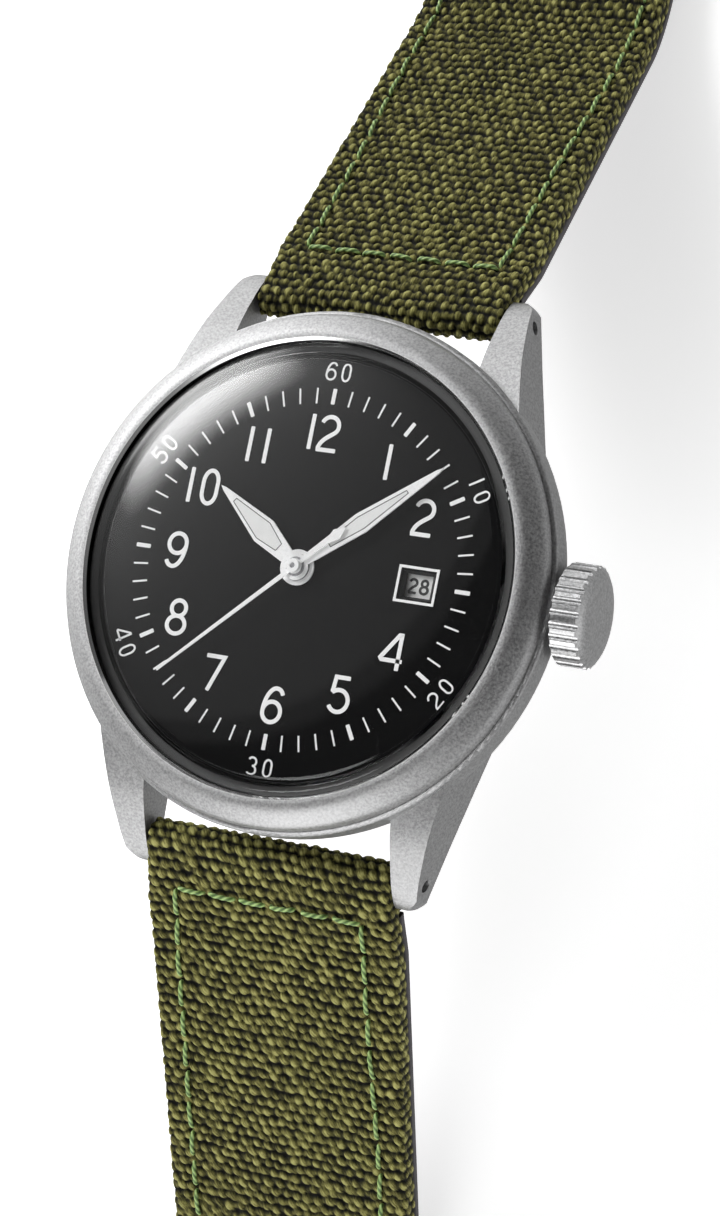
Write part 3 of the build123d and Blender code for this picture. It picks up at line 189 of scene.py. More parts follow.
def blasted(name, base, rough, grain=5200.0, strength=0.35, polished_inside=None):
    """Bead-blasted steel: fine even grain, slightly cloudy."""
    m = Nodes(name)
    fine = m.noise(grain, 3.0, 0.62)
    cloud = m.noise(260.0, 2.0)
    dark = tuple(c * 0.75 for c in base)
    light = tuple(min(1.0, c * 1.20) for c in base)
    col = m.mix(m.range(fine, 0.36, 0.64, 0, 1), dark, light)
    col = m.mix(m.range(cloud, 0.35, 0.65, 0.0, 0.10), col, (0.9, 0.9, 0.92), "MULTIPLY")
    rg = m.range(fine, 0.3, 0.7, rough - 0.07, rough + 0.07)
    height = m.bump(fine, strength, 0.00004)
    if polished_inside:
        lo, hi = polished_inside
        r, _ = m.radius()
        mask = m.range(r, lo * MM, hi * MM, 0.0, 1.0, True)
        rg_n = m.nt.nodes.new("ShaderNodeMix")
        m.link(mask, rg_n.inputs[0])
        rg_n.inputs[2].default_value = 0.10
        m.link(rg, rg_n.inputs[3])
        rg = rg_n.outputs[0]
        col = m.mix(mask, (0.80, 0.80, 0.80), col)
        col = m.mix(m.range(r, 16.74 * MM, 16.78 * MM, 0.0, 1.0), (0.006, 0.006, 0.006), col)      # painted shade: near-black on the bezel's inner wall round the crystal, standing for the shadow in the narrow gap
        b = m.nt.nodes.new("ShaderNodeBump")
        b.inputs["Distance"].default_value = 0.00004
        m.link(m.math("MULTIPLY", mask, strength), b.inputs["Strength"])
        m.link(fine, b.inputs["Height"])
        height = b.outputs[0]
    m.set(Base_Color=col, Metallic=1.0, Roughness=rg, Normal=height)
    return m.mat


def machined(name, base, rough, pattern="plain", scale=1.0):
    """Movement metals: fine turned, striped or grained surfaces."""
    m = Nodes(name)
    fine = m.noise(2600.0, 3.0)
    if pattern == "stripes":
        w = m.nt.nodes.new("ShaderNodeTexWave")
        w.wave_type = "BANDS"
        w.bands_direction = "DIAGONAL"
        w.inputs["Scale"].default_value = 130.0 * scale
        w.inputs["Distortion"].default_value = 0.3
        m.link(m.coords(), w.inputs["Vector"])
        h = w.outputs["Fac"]
        strength = 0.35
    elif pattern == "pearl":
        v = m.nt.nodes.new("ShaderNodeTexVoronoi")
        v.inputs["Scale"].default_value = 900.0 * scale
        v.inputs["Randomness"].default_value = 0.25
        m.link(m.coords(), v.inputs["Vector"])
        h = m.math("FRACT", m.math("MULTIPLY", v.outputs["Distance"], 5.0))
        strength = 0.25
    elif pattern == "turned":
        r, _ = m.radius()
        h = m.math("FRACT", m.math("MULTIPLY", r, 9000.0 * scale))
        strength = 0.12
    else:
        h = fine
        strength = 0.2
    col = m.mix(m.range(h, 0.0, 1.0, 0.0, 1.0), tuple(c * 0.86 for c in base), base)
    col = m.mix(m.range(fine, 0.3, 0.7, 0.0, 0.25), col, tuple(c * 0.75 for c in base))
    m.set(Base_Color=col, Metallic=1.0, Roughness=m.range(fine, 0.3, 0.7, rough - 0.05, rough + 0.06),
          Normal=m.bump(h, strength, 0.00003))
    return m.mat


def coated(name, base, rough, grain=3000.0, vary=0.12, strength=0.1, metallic=0.0, sheen=0.0, specular=0.5):
    """Paint, print, lacquer and rubber: a fine-grained dielectric."""
    m = Nodes(name)
    fine = m.noise(grain, 3.0)
    big = m.noise(grain / 12.0, 2.0)
    mixv = m.math("ADD", m.math("MULTIPLY", fine, 0.6), m.math("MULTIPLY", big, 0.4))
    col = m.mix(m.range(mixv, 0.3, 0.7, 0, 1), tuple(c * (1 - vary) for c in base),
                tuple(min(1.0, c * (1 + vary)) for c in base))
    m.set(Base_Color=col, Metallic=metallic, Roughness=m.range(fine, 0.3, 0.7, rough - 0.06, rough + 0.06),
          Normal=m.bump(fine, strength, 0.00002), Sheen_Weight=sheen, Specular_IOR_Level=specular)
    return m.mat


M = {}
M["blasted_steel"] = blasted("blasted_steel", (0.42, 0.42, 0.422), 0.54, strength=0.5)
M["bezel_steel"] = blasted("bezel_steel", (0.42, 0.42, 0.422), 0.54, strength=0.5, polished_inside=(16.93, 17.05))
M["crown_steel"] = blasted("crown_steel", (0.48, 0.48, 0.483), 0.36, strength=0.22)
M["polished_steel"] = machined("polished_steel", (0.66, 0.66, 0.67), 0.16)
M["buckle_steel"] = blasted("buckle_steel", (0.54, 0.54, 0.545), 0.42)
M["black_rubber"] = coated("black_rubber", (0.02, 0.02, 0.02), 0.6)
M["dial_black"] = coated("dial_black", (0.0036, 0.0036, 0.0038), 0.7, grain=4000.0, vary=0.12, strength=0.03, specular=0.05)
M["date_white"] = coated("date_white", (0.93, 0.93, 0.92), 0.55, grain=6000.0, vary=0.05, strength=0.15)
M["hand_white"] = coated("hand_white", (0.93, 0.93, 0.93), 0.30, grain=5000.0, vary=0.03, strength=0.06)
M["lume"] = coated("lume", (0.82, 0.82, 0.815), 0.75, grain=9000.0, vary=0.07, strength=0.4)
M["print_white"] = coated("print_white", (0.96, 0.96, 0.955), 0.55, grain=7000.0, vary=0.05, strength=0.15)
M["print_black"] = coated("print_black", (0.010, 0.010, 0.010), 0.5, grain=7000.0, vary=0.1, strength=0.1)
M["nickel_plate"] = machined("nickel_plate", (0.58, 0.56, 0.53), 0.28, "pearl")
M["bridge_plate"] = machined("bridge_plate", (0.60, 0.58, 0.55), 0.25, "stripes")
M["rotor_metal"] = machined("rotor_metal", (0.52, 0.50, 0.48), 0.27, "stripes")
M["gilt_brass"] = machined("gilt_brass", (0.75, 0.55, 0.26), 0.25, "turned")
M["movement_steel"] = machined("movement_steel", (0.55, 0.55, 0.57), 0.20)
M["back_steel"] = machined("back_steel", (0.60, 0.60, 0.61), 0.24, "turned", 0.5)


def glass():
    m = Nodes("crystal_glass")
    cloud = m.noise(60.0, 2.0)
    m.set(Base_Color=m.mix(m.range(cloud, 0.3, 0.7, 0, 1), (0.985, 0.99, 0.99), (1.0, 1.0, 1.0)), Roughness=0.0, IOR=1.43,
          Transmission_Weight=1.0)
    return m.mat


M["crystal_glass"] = glass()


def canvas_material(name):
    """Coarse olive canvas. fibre_xy runs across and along the fibres in mm, the weave attribute is painted light and
    shade taken from the yarns' height (near black in the hollows, light on the bump tops), yarn a value per bump.
    """
    m = Nodes(name)
    uv = m.attribute("fibre_xy", "Vector")
    # painted light and shade of the weave: dark in its hollows, light on its bump tops
    h = m.attribute("weave_painted_shade")
    yarn = m.attribute("yarn")
    fibre = m.noise(1.0, 2.0, 0.5, m.scaled(uv, (7.0, 1.6, 1.0)))      # fibres lie across each bump at the yarn's twist
    fuzz = m.noise(6.5, 2.0, 0.6, uv)
    cloud = m.noise(0.16, 2.0, 0.5, uv)
    level = m.math("ADD", h, m.math("MULTIPLY", m.math("SUBTRACT", fibre, 0.5), m.math("ADD", m.math("MULTIPLY", h, 1.7), 0.12)))
    level = m.math("ADD", level, m.math("MULTIPLY", m.math("SUBTRACT", yarn, 0.5), m.math("MULTIPLY", h, 0.30)))
    level = m.math("ADD", level, m.math("MULTIPLY", m.math("SUBTRACT", fuzz, 0.5), 0.30))
    # painted shade: the low stops paint the weave's hollows near black, the high stops paint the bump tops light
    col = m.ramp(level, [(0.0, (0.0032, 0.0032, 0.0020)), (0.14, (0.0100, 0.0098, 0.0048)), (0.34, (0.042, 0.040, 0.0125)),
                         (0.56, (0.128, 0.118, 0.034)), (0.78, (0.250, 0.235, 0.072)), (1.0, (0.43, 0.41, 0.145))])
    col = m.mix(m.range(cloud, 0.35, 0.65, 0.0, 0.25), col, (0.80, 0.86, 0.74), "MULTIPLY")
    b1 = m.bump(fibre, 0.5, 0.00008)
    b2 = m.bump(fuzz, 0.25, 0.00004, b1)
    m.set(Base_Color=col, Roughness=m.range(fuzz, 0.3, 0.7, 0.80, 0.97), Normal=b2,
          Sheen_Weight=0.04, Specular_IOR_Level=0.2)
    return m.mat


M["canvas"] = canvas_material("canvas")


def lining_material():
    m = Nodes("lining")
    fine = m.noise(4200.0, 4.0, 0.65)
    big = m.noise(500.0, 2.0)
    v = m.nt.nodes.new("ShaderNodeTexVoronoi")
    v.inputs["Scale"].default_value = 1900.0
    m.link(m.coords(), v.inputs["Vector"])
    col = m.mix(m.range(fine, 0.3, 0.7, 0, 1), (0.030, 0.027, 0.030), (0.075, 0.068, 0.074))
    col = m.mix(m.range(big, 0.35, 0.65, 0.0, 0.4), col, (0.7, 0.66, 0.66), "MULTIPLY")
    b1 = m.bump(v.outputs["Distance"], 0.35, 0.00008)
    m.set(Base_Color=col, Roughness=m.range(fine, 0.3, 0.7, 0.72, 0.9), Normal=m.bump(fine, 0.3, 0.00004, b1),
          Sheen_Weight=0.15)
    return m.mat


M["lining"] = lining_material()


def thread_material():
    m = Nodes("thread")
    # painted shade: the thread is darkened in the grooves between its two plies and lightened on their crests
    w = m.math("ADD", m.math("MULTIPLY", m.attribute("ply_painted_shade"), 0.5), 0.5)
    fine = m.noise(9000.0, 3.0)
    lv = m.math("ADD", m.math("MULTIPLY", w, 0.75), m.math("MULTIPLY", fine, 0.4))
    col = m.ramp(lv, [(0.0, (0.020, 0.045, 0.012)), (0.35, (0.10, 0.19, 0.045)), (0.70, (0.30, 0.47, 0.125)), (1.0, (0.55, 0.72, 0.30))])
    m.set(Base_Color=col, Roughness=m.range(fine, 0.3, 0.7, 0.42, 0.62), Normal=m.bump(lv, 0.5, 0.00006), Sheen_Weight=0.1)
    return m.mat


M["thread"] = thread_material()

slot_map = {
    "blasted_steel": "blasted_steel", "polished_steel": "polished_steel", "buckle_steel": "buckle_steel",
    "crystal_glass": "crystal_glass", "black_rubber": "black_rubber", "dial_black": "dial_black",
    "date_white": "date_white", "hand_white": "hand_white", "lume": "lume", "canvas": "canvas", "lining": "lining",
    "keeper_canvas": "canvas", "nickel_plate": "nickel_plate", "rotor_metal": "rotor_metal",
    "gilt_brass": "gilt_brass", "movement_steel": "movement_steel",
}
own = {"fourth_wheel": "movement_steel", "cannon_pinion": "movement_steel", "hour_wheel": "movement_steel", "bezel": "bezel_steel", "crown": "crown_steel", "case_back": "back_steel", "train_bridge": "bridge_plate",
       "balance_cock": "bridge_plate", "pallet_cock": "bridge_plate"}
for name, obj in nodes.items():
    for ms in obj.material_slots:
        old = ms.material.name.split(".")[0] if ms.material else "movement_steel"
        ms.material = M[own.get(name, slot_map.get(old, "movement_steel"))]


# ------------------------------------------------------------------ mesh helpers
def new_piece(name, verts_mm, faces, mat, body, smooth=True, attrs=None, replaces=()):
    me = bpy.data.meshes.new(name)
    me.from_pydata((np.asarray(verts_mm, float) * MM).tolist(), [], faces)
    me.update()
    if smooth:
        me.polygons.foreach_set("use_smooth", [True] * len(me.polygons))
    for key, val in (attrs or {}).items():
        val = np.asarray(val, np.float32)
        if val.ndim == 2:
            a = me.attributes.new(key, "FLOAT_VECTOR", "POINT")
            a.data.foreach_set("vector", val.ravel())
        else:
            a = me.attributes.new(key, "FLOAT", "POINT")
            a.data.foreach_set("value", val)
    me.materials.append(mat)
    ob = bpy.data.objects.new(name, me)
    scene.collection.objects.link(ob)
    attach(ob, body)
    if replaces:
        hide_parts(*replaces)
    return ob


def lathe(name, profile, mat, body, seg=256, closed=True, replaces=()):
    """profile: (radius, z) points; points on the axis are merged"""
    pr = np.array(profile, float)
    n = len(pr)
    ang = np.linspace(0, 2 * math.pi, seg, endpoint=False)
    verts, ring = [], []
    for r, z in pr:
        if r < 1e-6:
            ring.append([len(verts)] * seg)
            verts.append((0, 0, z))
        else:
            start = len(verts)
            ring.append(list(range(start, start + seg)))
            verts += [(r * math.cos(a), r * math.sin(a), z) for a in ang]
    faces = []
    last = n if closed else n - 1
    for i in range(last):
        a, b = ring[i], ring[(i + 1) % n]
        for k in range(seg):
            q = [a[k], b[k], b[(k + 1) % seg], a[(k + 1) % seg]]
            q = [v for j, v in enumerate(q) if v not in q[:j]]
            if len(q) > 2:
                faces.append(q)
    return new_piece(name, verts, faces, mat, body, replaces=replaces)


# ------------------------------------------------------------------ crystal
def crystal_profile():
    outer, inner = [], []
    for t in np.linspace(0, 1, 46):
        f = 0.52 * t ** 2 + 0.48 * t ** 7
        outer.append((16.1 * t, 9.5 - 1.23 * f))
    for t in np.linspace(0, 1, 40):
        f = 0.60 * t ** 2 + 0.40 * t ** 7
        inner.append((15.5 * t, 8.62 - 0.80 * f))
    shoulder = []
    for a in np.linspace(0.25, 1.0, 8):
        shoulder.append((16.1 + 0.55 * math.sin(a * math.pi / 2), 7.72 + 0.55 * math.cos(a * math.pi / 2)))
    foot = [(16.65, 7.3), (16.62, 7.06), (16.0, 7.06), (15.85, 7.2), (15.7, 7.55)]
    return outer + shoulder + foot + inner[::-1]


crystal = lathe("crystal_domed", crystal_profile(), M["crystal_glass"], "case", seg=288,
                replaces=("crystal",))
crystal.visible_shadow = False              # light and bounce light pass through it to the dial
crystal.visible_diffuse = False


# ------------------------------------------------------------------ dial print
def arc(cx, cy, rx, ry, a0, a1, n=14):
    return [(cx + rx * math.cos(math.radians(a)), cy + ry * math.sin(math.radians(a))) for a in np.linspace(a0, a1, n)]


def bez(p0, p1, p2, p3, n=12):
    out = []
    for t in np.linspace(0, 1, n):
        u = 1 - t
        out.append(tuple(u ** 3 * a + 3 * u * u * t * b + 3 * u * t * t * c + t ** 3 * d
                         for a, b, c, d in zip(p0, p1, p2, p3)))
    return out


# Strokes of the digits on a unit-high centre line, x about the digit's middle; True closes a stroke.
DIGITS = {
    "0": [(arc(0, 0.66, 0.235, 0.34, 0, 180, 16) + arc(0, 0.34, 0.235, 0.34, 180, 360, 16), True)],
    "1": [([(0, 1.03), (0, -0.03)], False)],
    "2": [(arc(-0.005, 0.73, 0.275, 0.27, 163, -28, 18)
           + bez((0.238, 0.603), (0.16, 0.46), (-0.245, 0.36), (-0.285, 0.0), 12)[1:], False),
          ([(-0.33, 0.0), (0.30, 0.0)], False)],
    "3": [(arc(-0.01, 0.75, 0.25, 0.25, 150, -80, 16), False), (arc(-0.01, 0.27, 0.28, 0.27, 84, -150, 18), False)],
    "4": [([(0.30, 0.245), (-0.34, 0.245), (-0.385, 0.30), (0.10, 1.0), (0.17, 1.0), (0.17, -0.03)], False)],
    "5": [([(0.26, 1.0), (-0.19, 1.0), (-0.235, 0.545)], False),
          (bez((-0.235, 0.545), (-0.13, 0.63), (-0.06, 0.635), (0.0, 0.635), 6)[:-1]
           + arc(-0.01, 0.315, 0.305, 0.32, 88, -152, 20), False)],
    "6": [(arc(0, 0.30, 0.285, 0.30, 0, 360, 30)[:-1], True),
          (bez((-0.285, 0.30), (-0.29, 0.74), (-0.10, 1.01), (0.06, 1.0), 12)
           + bez((0.06, 1.0), (0.16, 0.995), (0.24, 0.93), (0.275, 0.82), 7)[1:], False)],
    "7": [([(-0.30, 1.0), (0.29, 1.0), (-0.10, -0.03)], False)],
    "8": [(arc(0.0, 0.765, 0.235, 0.235, 0, 360, 28)[:-1], True), (arc(0, 0.268, 0.29, 0.268, 0, 360, 30)[:-1], True)],
}
DIGITS["9"] = [([(-x, 1.0 - y) for x, y in pts], closed) for pts, closed in DIGITS["6"]]


def stroke_mesh(pts, width, closed, z0, z1):
    """A flat ribbon with mitred corners and blunt, slightly rounded ends, between two heights."""
    p = np.array(pts, float)
    n = len(p)
    if closed:
        d1 = np.roll(p, -1, 0) - p
        d0 = p - np.roll(p, 1, 0)
    else:
        d1 = np.vstack([p[1:] - p[:-1], p[-1:] - p[-2:-1]])
        d0 = np.vstack([p[1:2] - p[0:1], p[1:] - p[:-1]])
    d1 /= np.linalg.norm(d1, axis=1)[:, None]
    d0 /= np.linalg.norm(d0, axis=1)[:, None]
    n0 = np.stack([-d0[:, 1], d0[:, 0]], 1)
    n1 = np.stack([-d1[:, 1], d1[:, 0]], 1)
    m = n0 + n1
    m /= np.linalg.norm(m, axis=1)[:, None]
    k = width / 2 / np.maximum(0.45, (m * n1).sum(1))
    left, right = p + m * k[:, None], p - m * k[:, None]
    rows = [(left[i], right[i]) for i in range(n)]
    if not closed:
        r = width * 0.14
        rows = ([((p[0] + n1[0] * (width / 2 - r)) - d1[0] * 0.0, (p[0] - n1[0] * (width / 2 - r)))]
                + [(p[0] + n1[0] * width / 2 + d1[0] * r, p[0] - n1[0] * width / 2 + d1[0] * r)]
                + rows[1:-1]
                + [(p[-1] + n0[-1] * width / 2 - d0[-1] * r, p[-1] - n0[-1] * width / 2 - d0[-1] * r)]
                + [(p[-1] + n0[-1] * (width / 2 - r), p[-1] - n0[-1] * (width / 2 - r))])
    verts, faces = [], []
    for a, b in rows:
        verts += [(a[0], a[1], z1), (b[0], b[1], z1), (a[0], a[1], z0), (b[0], b[1], z0)]
    cnt = len(rows)
    for i in range(cnt if closed else cnt - 1):
        a, b = 4 * i, 4 * ((i + 1) % cnt)
        faces += [(a, a + 1, b + 1, b), (a + 2, b + 2, b + 3, a + 3), (a, b, b + 2, a + 2), (a + 1, a + 3, b + 3, b + 1)]
    if not closed:
        faces += [(0, 2, 3, 1), (4 * cnt - 4, 4 * cnt - 3, 4 * cnt - 1, 4 * cnt - 2)]
    return verts, faces


class Print:
    def __init__(self):
        self.v, self.f = [], []

    def add(self, vf):
        base = len(self.v)
        self.v += vf[0]
        self.f += [tuple(i + base for i in f) for f in vf[1]]

    def glyph(self, char, centre, height, width, z0, z1, turn=0.0):
        """turn is in degrees clockwise; height is the whole height with the stroke"""
        s = height - width
        c, sn = math.cos(math.radians(-turn)), math.sin(math.radians(-turn))
        for k, (pts, closed) in enumerate(DIGITS[char]):
            q = []
            for x, y in pts:
                u, v = x * s, (y - 0.5) * s
                q.append((centre[0] + c * u - sn * v, centre[1] + sn * u + c * v))
            self.add(stroke_mesh(q, width, closed, z0, z1 + 0.002 * k))

    def bar(self, a, b, width, z0, z1):
        self.add(stroke_mesh([a, b], width, False, z0, z1))


def clock(r, deg):
    return (r * math.sin(math.radians(deg)), r * math.cos(math.radians(deg)))


Z0, Z1 = 6.995, 7.035
numerals = Print()
big_h, big_w = 2.78, 0.31
for text, spots in (
    ("12", [(-1.20, 10.04), (0.21, 10.04)]), ("1", [(5.23, 8.54)]), ("2", [(8.80, 4.90)]),
    ("4", [(8.53, -4.92)]), ("5", [(5.05, -8.55)]), ("6", [(0.05, -10.08)]), ("7", [(-5.11, -8.50)]),
    ("8", [(-8.88, -4.87)]), ("9", [(-10.02, 0.02)]), ("10", [(-9.97, 4.97), (-8.38, 4.97)]),
    ("11", [(-5.88, 8.55), (-4.52, 8.55)]),
):
    for ch, spot in zip(text, spots):
        numerals.glyph(ch, spot, big_h, big_w, Z0, Z1)
new_piece("dial_numerals", numerals.v, numerals.f, M["print_white"], "case", smooth=False)

track = Print()
for i in range(60):
    w = 0.30 if i % 5 == 0 else 0.135
    track.bar(clock(12.19, 6 * i), clock(13.35, 6 * i), w, Z0, Z1)
new_piece("minute_track", track.v, track.f, M["print_white"], "case", smooth=False)

small = Print()
R_OUT, H_OUT, W_OUT = 14.62, 1.40, 0.15
for text, at, turn in (("60", 0, 0), ("10", 59.3, 60), ("50", 300, 300)):
    sep = 2.35
    for k, ch in enumerate(text):
        small.glyph(ch, clock(R_OUT, at + (k * 2 - 1) * sep), H_OUT, W_OUT, Z0, Z1, turn)
for text, at in (("20", 120), ("30", 180), ("40", 240)):
    for k, ch in enumerate(text):
        small.glyph(ch, clock(R_OUT, at - (k * 2 - 1) * 2.45), H_OUT, W_OUT, Z0, Z1, at - 180)
new_piece("outer_numerals", small.v, small.f, M["print_white"], "case", smooth=False)


def frame_ring(cx, cy, ho, vo, hi, vi, z0, z1, zi=None):
    zi = z1 if zi is None else zi
    v, f = [], []
    for h, k, z in ((ho, vo, z0), (ho, vo, z1), (hi, vi, zi), (hi, vi, z0)):
        v += [(cx - h, cy - k, z), (cx + h, cy - k, z), (cx + h, cy + k, z), (cx - h, cy + k, z)]
    for ring in range(3):
        for i in range(4):
            a, b = ring * 4 + i, ring * 4 + (i + 1) % 4
            f.append((a, b, b + 4, a + 4))
    for i in range(4):
        a, b = 12 + i, 12 + (i + 1) % 4
        f.append((a, b, b - 12, a - 12))
    return v, f


wf = Print()
wf.add(frame_ring(9.25, 0.02, 1.56, 1.34, 1.37, 1.15, Z0, Z1 + 0.02))
new_piece("window_frame", wf.v, wf.f, M["print_white"], "case", smooth=False)

wf = Print()
wf.add(frame_ring(9.25, 0.02, 1.30, 1.07, 1.00, 0.83, 6.50, 7.004, 6.60))
new_piece("window_bevel", wf.v, wf.f, M["print_black"], "case", smooth=False)

dates = Print()
for day in range(1, 32):
    turn = (28 - day) * 360.0 / 31          # later days lie clockwise, as the ring turns anticlockwise
    a = math.radians(turn)
    text = str(day)
    for k, ch in enumerate(text):
        u = (k - (len(text) - 1) / 2) * 0.86
        x, y = 9.13 + u, 0.04
        dates.glyph(ch, (x * math.cos(a) - y * math.sin(a), x * math.sin(a) + y * math.cos(a)), 1.16, 0.185,
                    6.275, 6.305, -turn)
new_piece("date_figures", dates.v, dates.f, M["print_black"], "date_ring", smooth=False)


# painted shade: a thin black ribbon round each hand's lume stands for the shadow in its groove
def hand_pt(deg, along, side):
    d = clock(1.0, deg)
    return (d[0] * along + d[1] * side, d[1] * along - d[0] * side)


for body, deg, half, z in (("hour_hand", 305.4, [(2.15, 0.33), (3.95, 0.74), (7.3, 0.16)], 7.455),
                           ("minute_hand", 49.1, [(3.0, 0.24), (5.8, 0.5), (9.9, 0.12)], 7.745)):
    pr = Print()
    ring = [hand_pt(deg, a, s) for a, s in half] + [hand_pt(deg, a, -s) for a, s in reversed(half)]
    pr.add(stroke_mesh(ring, 0.055, True, z - 0.02, z + 0.004))
    new_piece(body + "_groove_painted_shade", pr.v, pr.f, M["print_black"], body, smooth=False)

# ------------------------------------------------------------------ straps
bar_y, bar_z, strap_t = 20.7, 1.8, 2.4
keeper_t, keeper_gap = 0.9, 2.6
width_12 = [(18.0, 9.9), (23.0, 9.93), (25.5, 10.3), (48.0, 10.35), (92.0, 8.9)]
width_6 = [(18.0, 9.9), (23.0, 9.93), (25.5, 10.2), (48.0, 10.1), (96.0, 9.0), (132.0, 9.0)]


def strap_line(drop, y1, r, length):
    s = math.radians(drop)
    z1 = bar_z - (y1 - bar_y) * math.tan(s)
    cy, cz = y1 + r * math.sin(s), z1 + r * math.cos(s)
    return s, y1, z1, r, cy, cz, cz - r, cy + length - (y1 - bar_y) / math.cos(s) - r * s


path_6 = strap_line(33.0, 49.0, 18.0, 115.0)
stand_z = path_6[6] - strap_t / 2
flat12_z = stand_z + keeper_t + 0.1 + strap_t / 2
r12 = (bar_z - (47.5 - bar_y) * math.tan(math.radians(33.4)) - flat12_z) / (1 - math.cos(math.radians(33.4)))
path_12 = strap_line(33.4, 47.5, r12, 75.0)
buckle_y = path_12[7]
tip_y = path_6[7]


def dense(points, step):
    """Resamples a polyline of rows (values side by side) to an even step measured on the first two columns."""
    p = np.array(points, float)
    seg = np.hypot(*(p[1:, :2] - p[:-1, :2]).T)
    s = np.concatenate([[0], np.cumsum(seg)])
    if callable(step):
        t = [0.0]
        while t[-1] < s[-1]:
            t.append(t[-1] + step(t[-1]))
        t = np.array(t[:-1] + [s[-1]])
    else:
        t = np.linspace(0, s[-1], int(s[-1] / step) + 1)
    return t, np.stack([np.interp(t, s, p[:, k]) for k in range(p.shape[1])], 1)


def canvas_path(path, side):
    """Rows of y, z, normal y, normal z, thickness, for the canvas' outer face; y is away from the case."""
    s, y1, z1, r, cy, cz, level, end_y = path
    d, n = (math.cos(s), -math.sin(s)), (math.sin(s), math.cos(s))
    rows = []
    for a in np.linspace(2.9, 0.1, 12):                       # turned under, from the lining back to the bar
        rows.append((bar_y + d[0] * a - n[0] * 1.22, bar_z + d[1] * a - n[1] * 1.22, -n[0], -n[1], 0.80 - 0.30 * (1 - a / 2.9)))
    for t in np.linspace(0, math.pi, 40):                     # round the spring bar
        q = (-n[0] * math.cos(t) - d[0] * math.sin(t), -n[1] * math.cos(t) - d[1] * math.sin(t))
        rr = 1.22 + 0.14 * math.sin(t)
        rows.append((bar_y + q[0] * rr, bar_z + q[1] * rr, q[0], q[1], 0.45 + 0.25 * (t > math.pi * 0.75) * (t / math.pi - 0.75) * 4))
    run = (y1 - bar_y) / math.cos(s)
    for a in np.linspace(0.1, run, 120):                      # straight run
        off = 1.2 + 0.02 * math.exp(-a)
        rows.append((bar_y + d[0] * a + n[0] * off, bar_z + d[1] * a + n[1] * off, n[0], n[1], min(1.5, 0.7 + 0.35 * a)))
    for f in np.linspace(s, 0, 40)[1:]:                       # bend back to level
        rows.append((cy - (r - 1.2) * math.sin(f), cz - (r - 1.2) * math.cos(f), math.sin(f), math.cos(f), 1.5))
    if side > 0:
        for y in np.linspace(cy, end_y - 0.1, 160)[1:]:
            rows.append((y, level + 1.2, 0, 1, 1.5 - 1.05 * max(0.0, 1 - (end_y - y) / 2.5)))
        for t in np.linspace(0, math.pi, 36):                 # round the buckle's bar
            rows.append((end_y + 1.2 * math.sin(t), level + 1.2 * math.cos(t), math.sin(t), math.cos(t), 0.42))
        for y in np.linspace(end_y - 0.1, end_y - 3.2, 14):
            rows.append((y, level - 1.2, 0, -1, 0.85))
    else:
        for y in np.linspace(cy, end_y, 260)[1:]:
            rows.append((y, level + 1.2, 0, 1, 1.5))
    return rows


def smoothstep(x):
    x = np.clip(x, 0, 1)
    return x * x * (3 - 2 * x)


def hash2(i, j, k=0):
    v = np.sin(i * 127.1 + j * 311.7 + k * 74.7) * 43758.5453
    return v - np.floor(v)


A_WARP, B_WEFT = 0.46, 0.80


def weave(u, v, style):
    """Relief (mm), a painted shade level (the normalised height, brightened as painted light towards each bump's far
    end) and a value per yarn, for a canvas of fat warp bumps with thin weft between. style: width of the bumps, their
    lean, and how much painted light brightens their far end."""
    slim, lean, painted_light_bias = style
    wob = 0.10 * np.sin(v * 0.53 + 1.3 * np.sin(u * 0.21)) + 0.05 * np.sin(v * 1.71 + u * 0.9)
    woc = 0.09 * np.sin(u * 0.61 + 1.1 * np.sin(v * 0.17)) + 0.05 * np.sin(u * 1.37 - v * 0.8)
    uu, vv = u + wob, v + woc
    i0, j0 = np.floor(uu / A_WARP), np.floor(vv / B_WEFT)
    best = np.zeros(u.shape)
    shade = np.zeros(u.shape)
    yarn = np.zeros(u.shape)
    for di in (-1, 0, 1, 2):
        for dj in (-1, 0, 1, 2):
            i, j = i0 + di, j0 + dj
            warp = np.mod(i + j, 2) == 0
            ju, jv = (hash2(i, j, 1) - 0.5) * 0.17, (hash2(i, j, 2) - 0.5) * 0.20
            du, dv = uu - (i * A_WARP + ju), vv - (j * B_WEFT + jv)
            du = du - np.where(warp, lean + (hash2(i, j, 7) - 0.5) * 0.4, 0.0) * dv
            size = 0.84 + 0.32 * hash2(i, j, 3)
            wu = np.where(warp, 0.40 * slim, 0.26) * size
            wv = np.where(warp, 0.43, 0.34) * size
            top = np.where(warp, 1.0 - 0.22 * hash2(i, j, 4), 0.62 - 0.34 * hash2(i, j, 6))
            q = (np.abs(du) / wu) ** 2.0 + (np.abs(dv) / wv) ** 2.2
            h = top * np.clip(1 - q, 0, 1) ** 0.55
            take = h > best
            best = np.where(take, h, best)
            # painted light: each warp bump is painted brighter towards its far end
            shade = np.where(take, h * (1 + painted_light_bias * np.clip(dv / wv, -1, 1)), shade)
            yarn = np.where(take, hash2(i, j, 5), yarn)
    return (best - 0.62) * 0.34, np.clip(shade, 0.0, 1.15), yarn


def seam_distance(x, v, lines):
    d = np.full(x.shape, 9.0)
    for (x0, v0), (x1, v1) in lines:
        ex, ev = x1 - x0, v1 - v0
        t = np.clip(((x - x0) * ex + (v - v0) * ev) / (ex * ex + ev * ev), 0, 1)
        d = np.minimum(d, np.hypot(x - x0 - t * ex, v - v0 - t * ev))
    return d


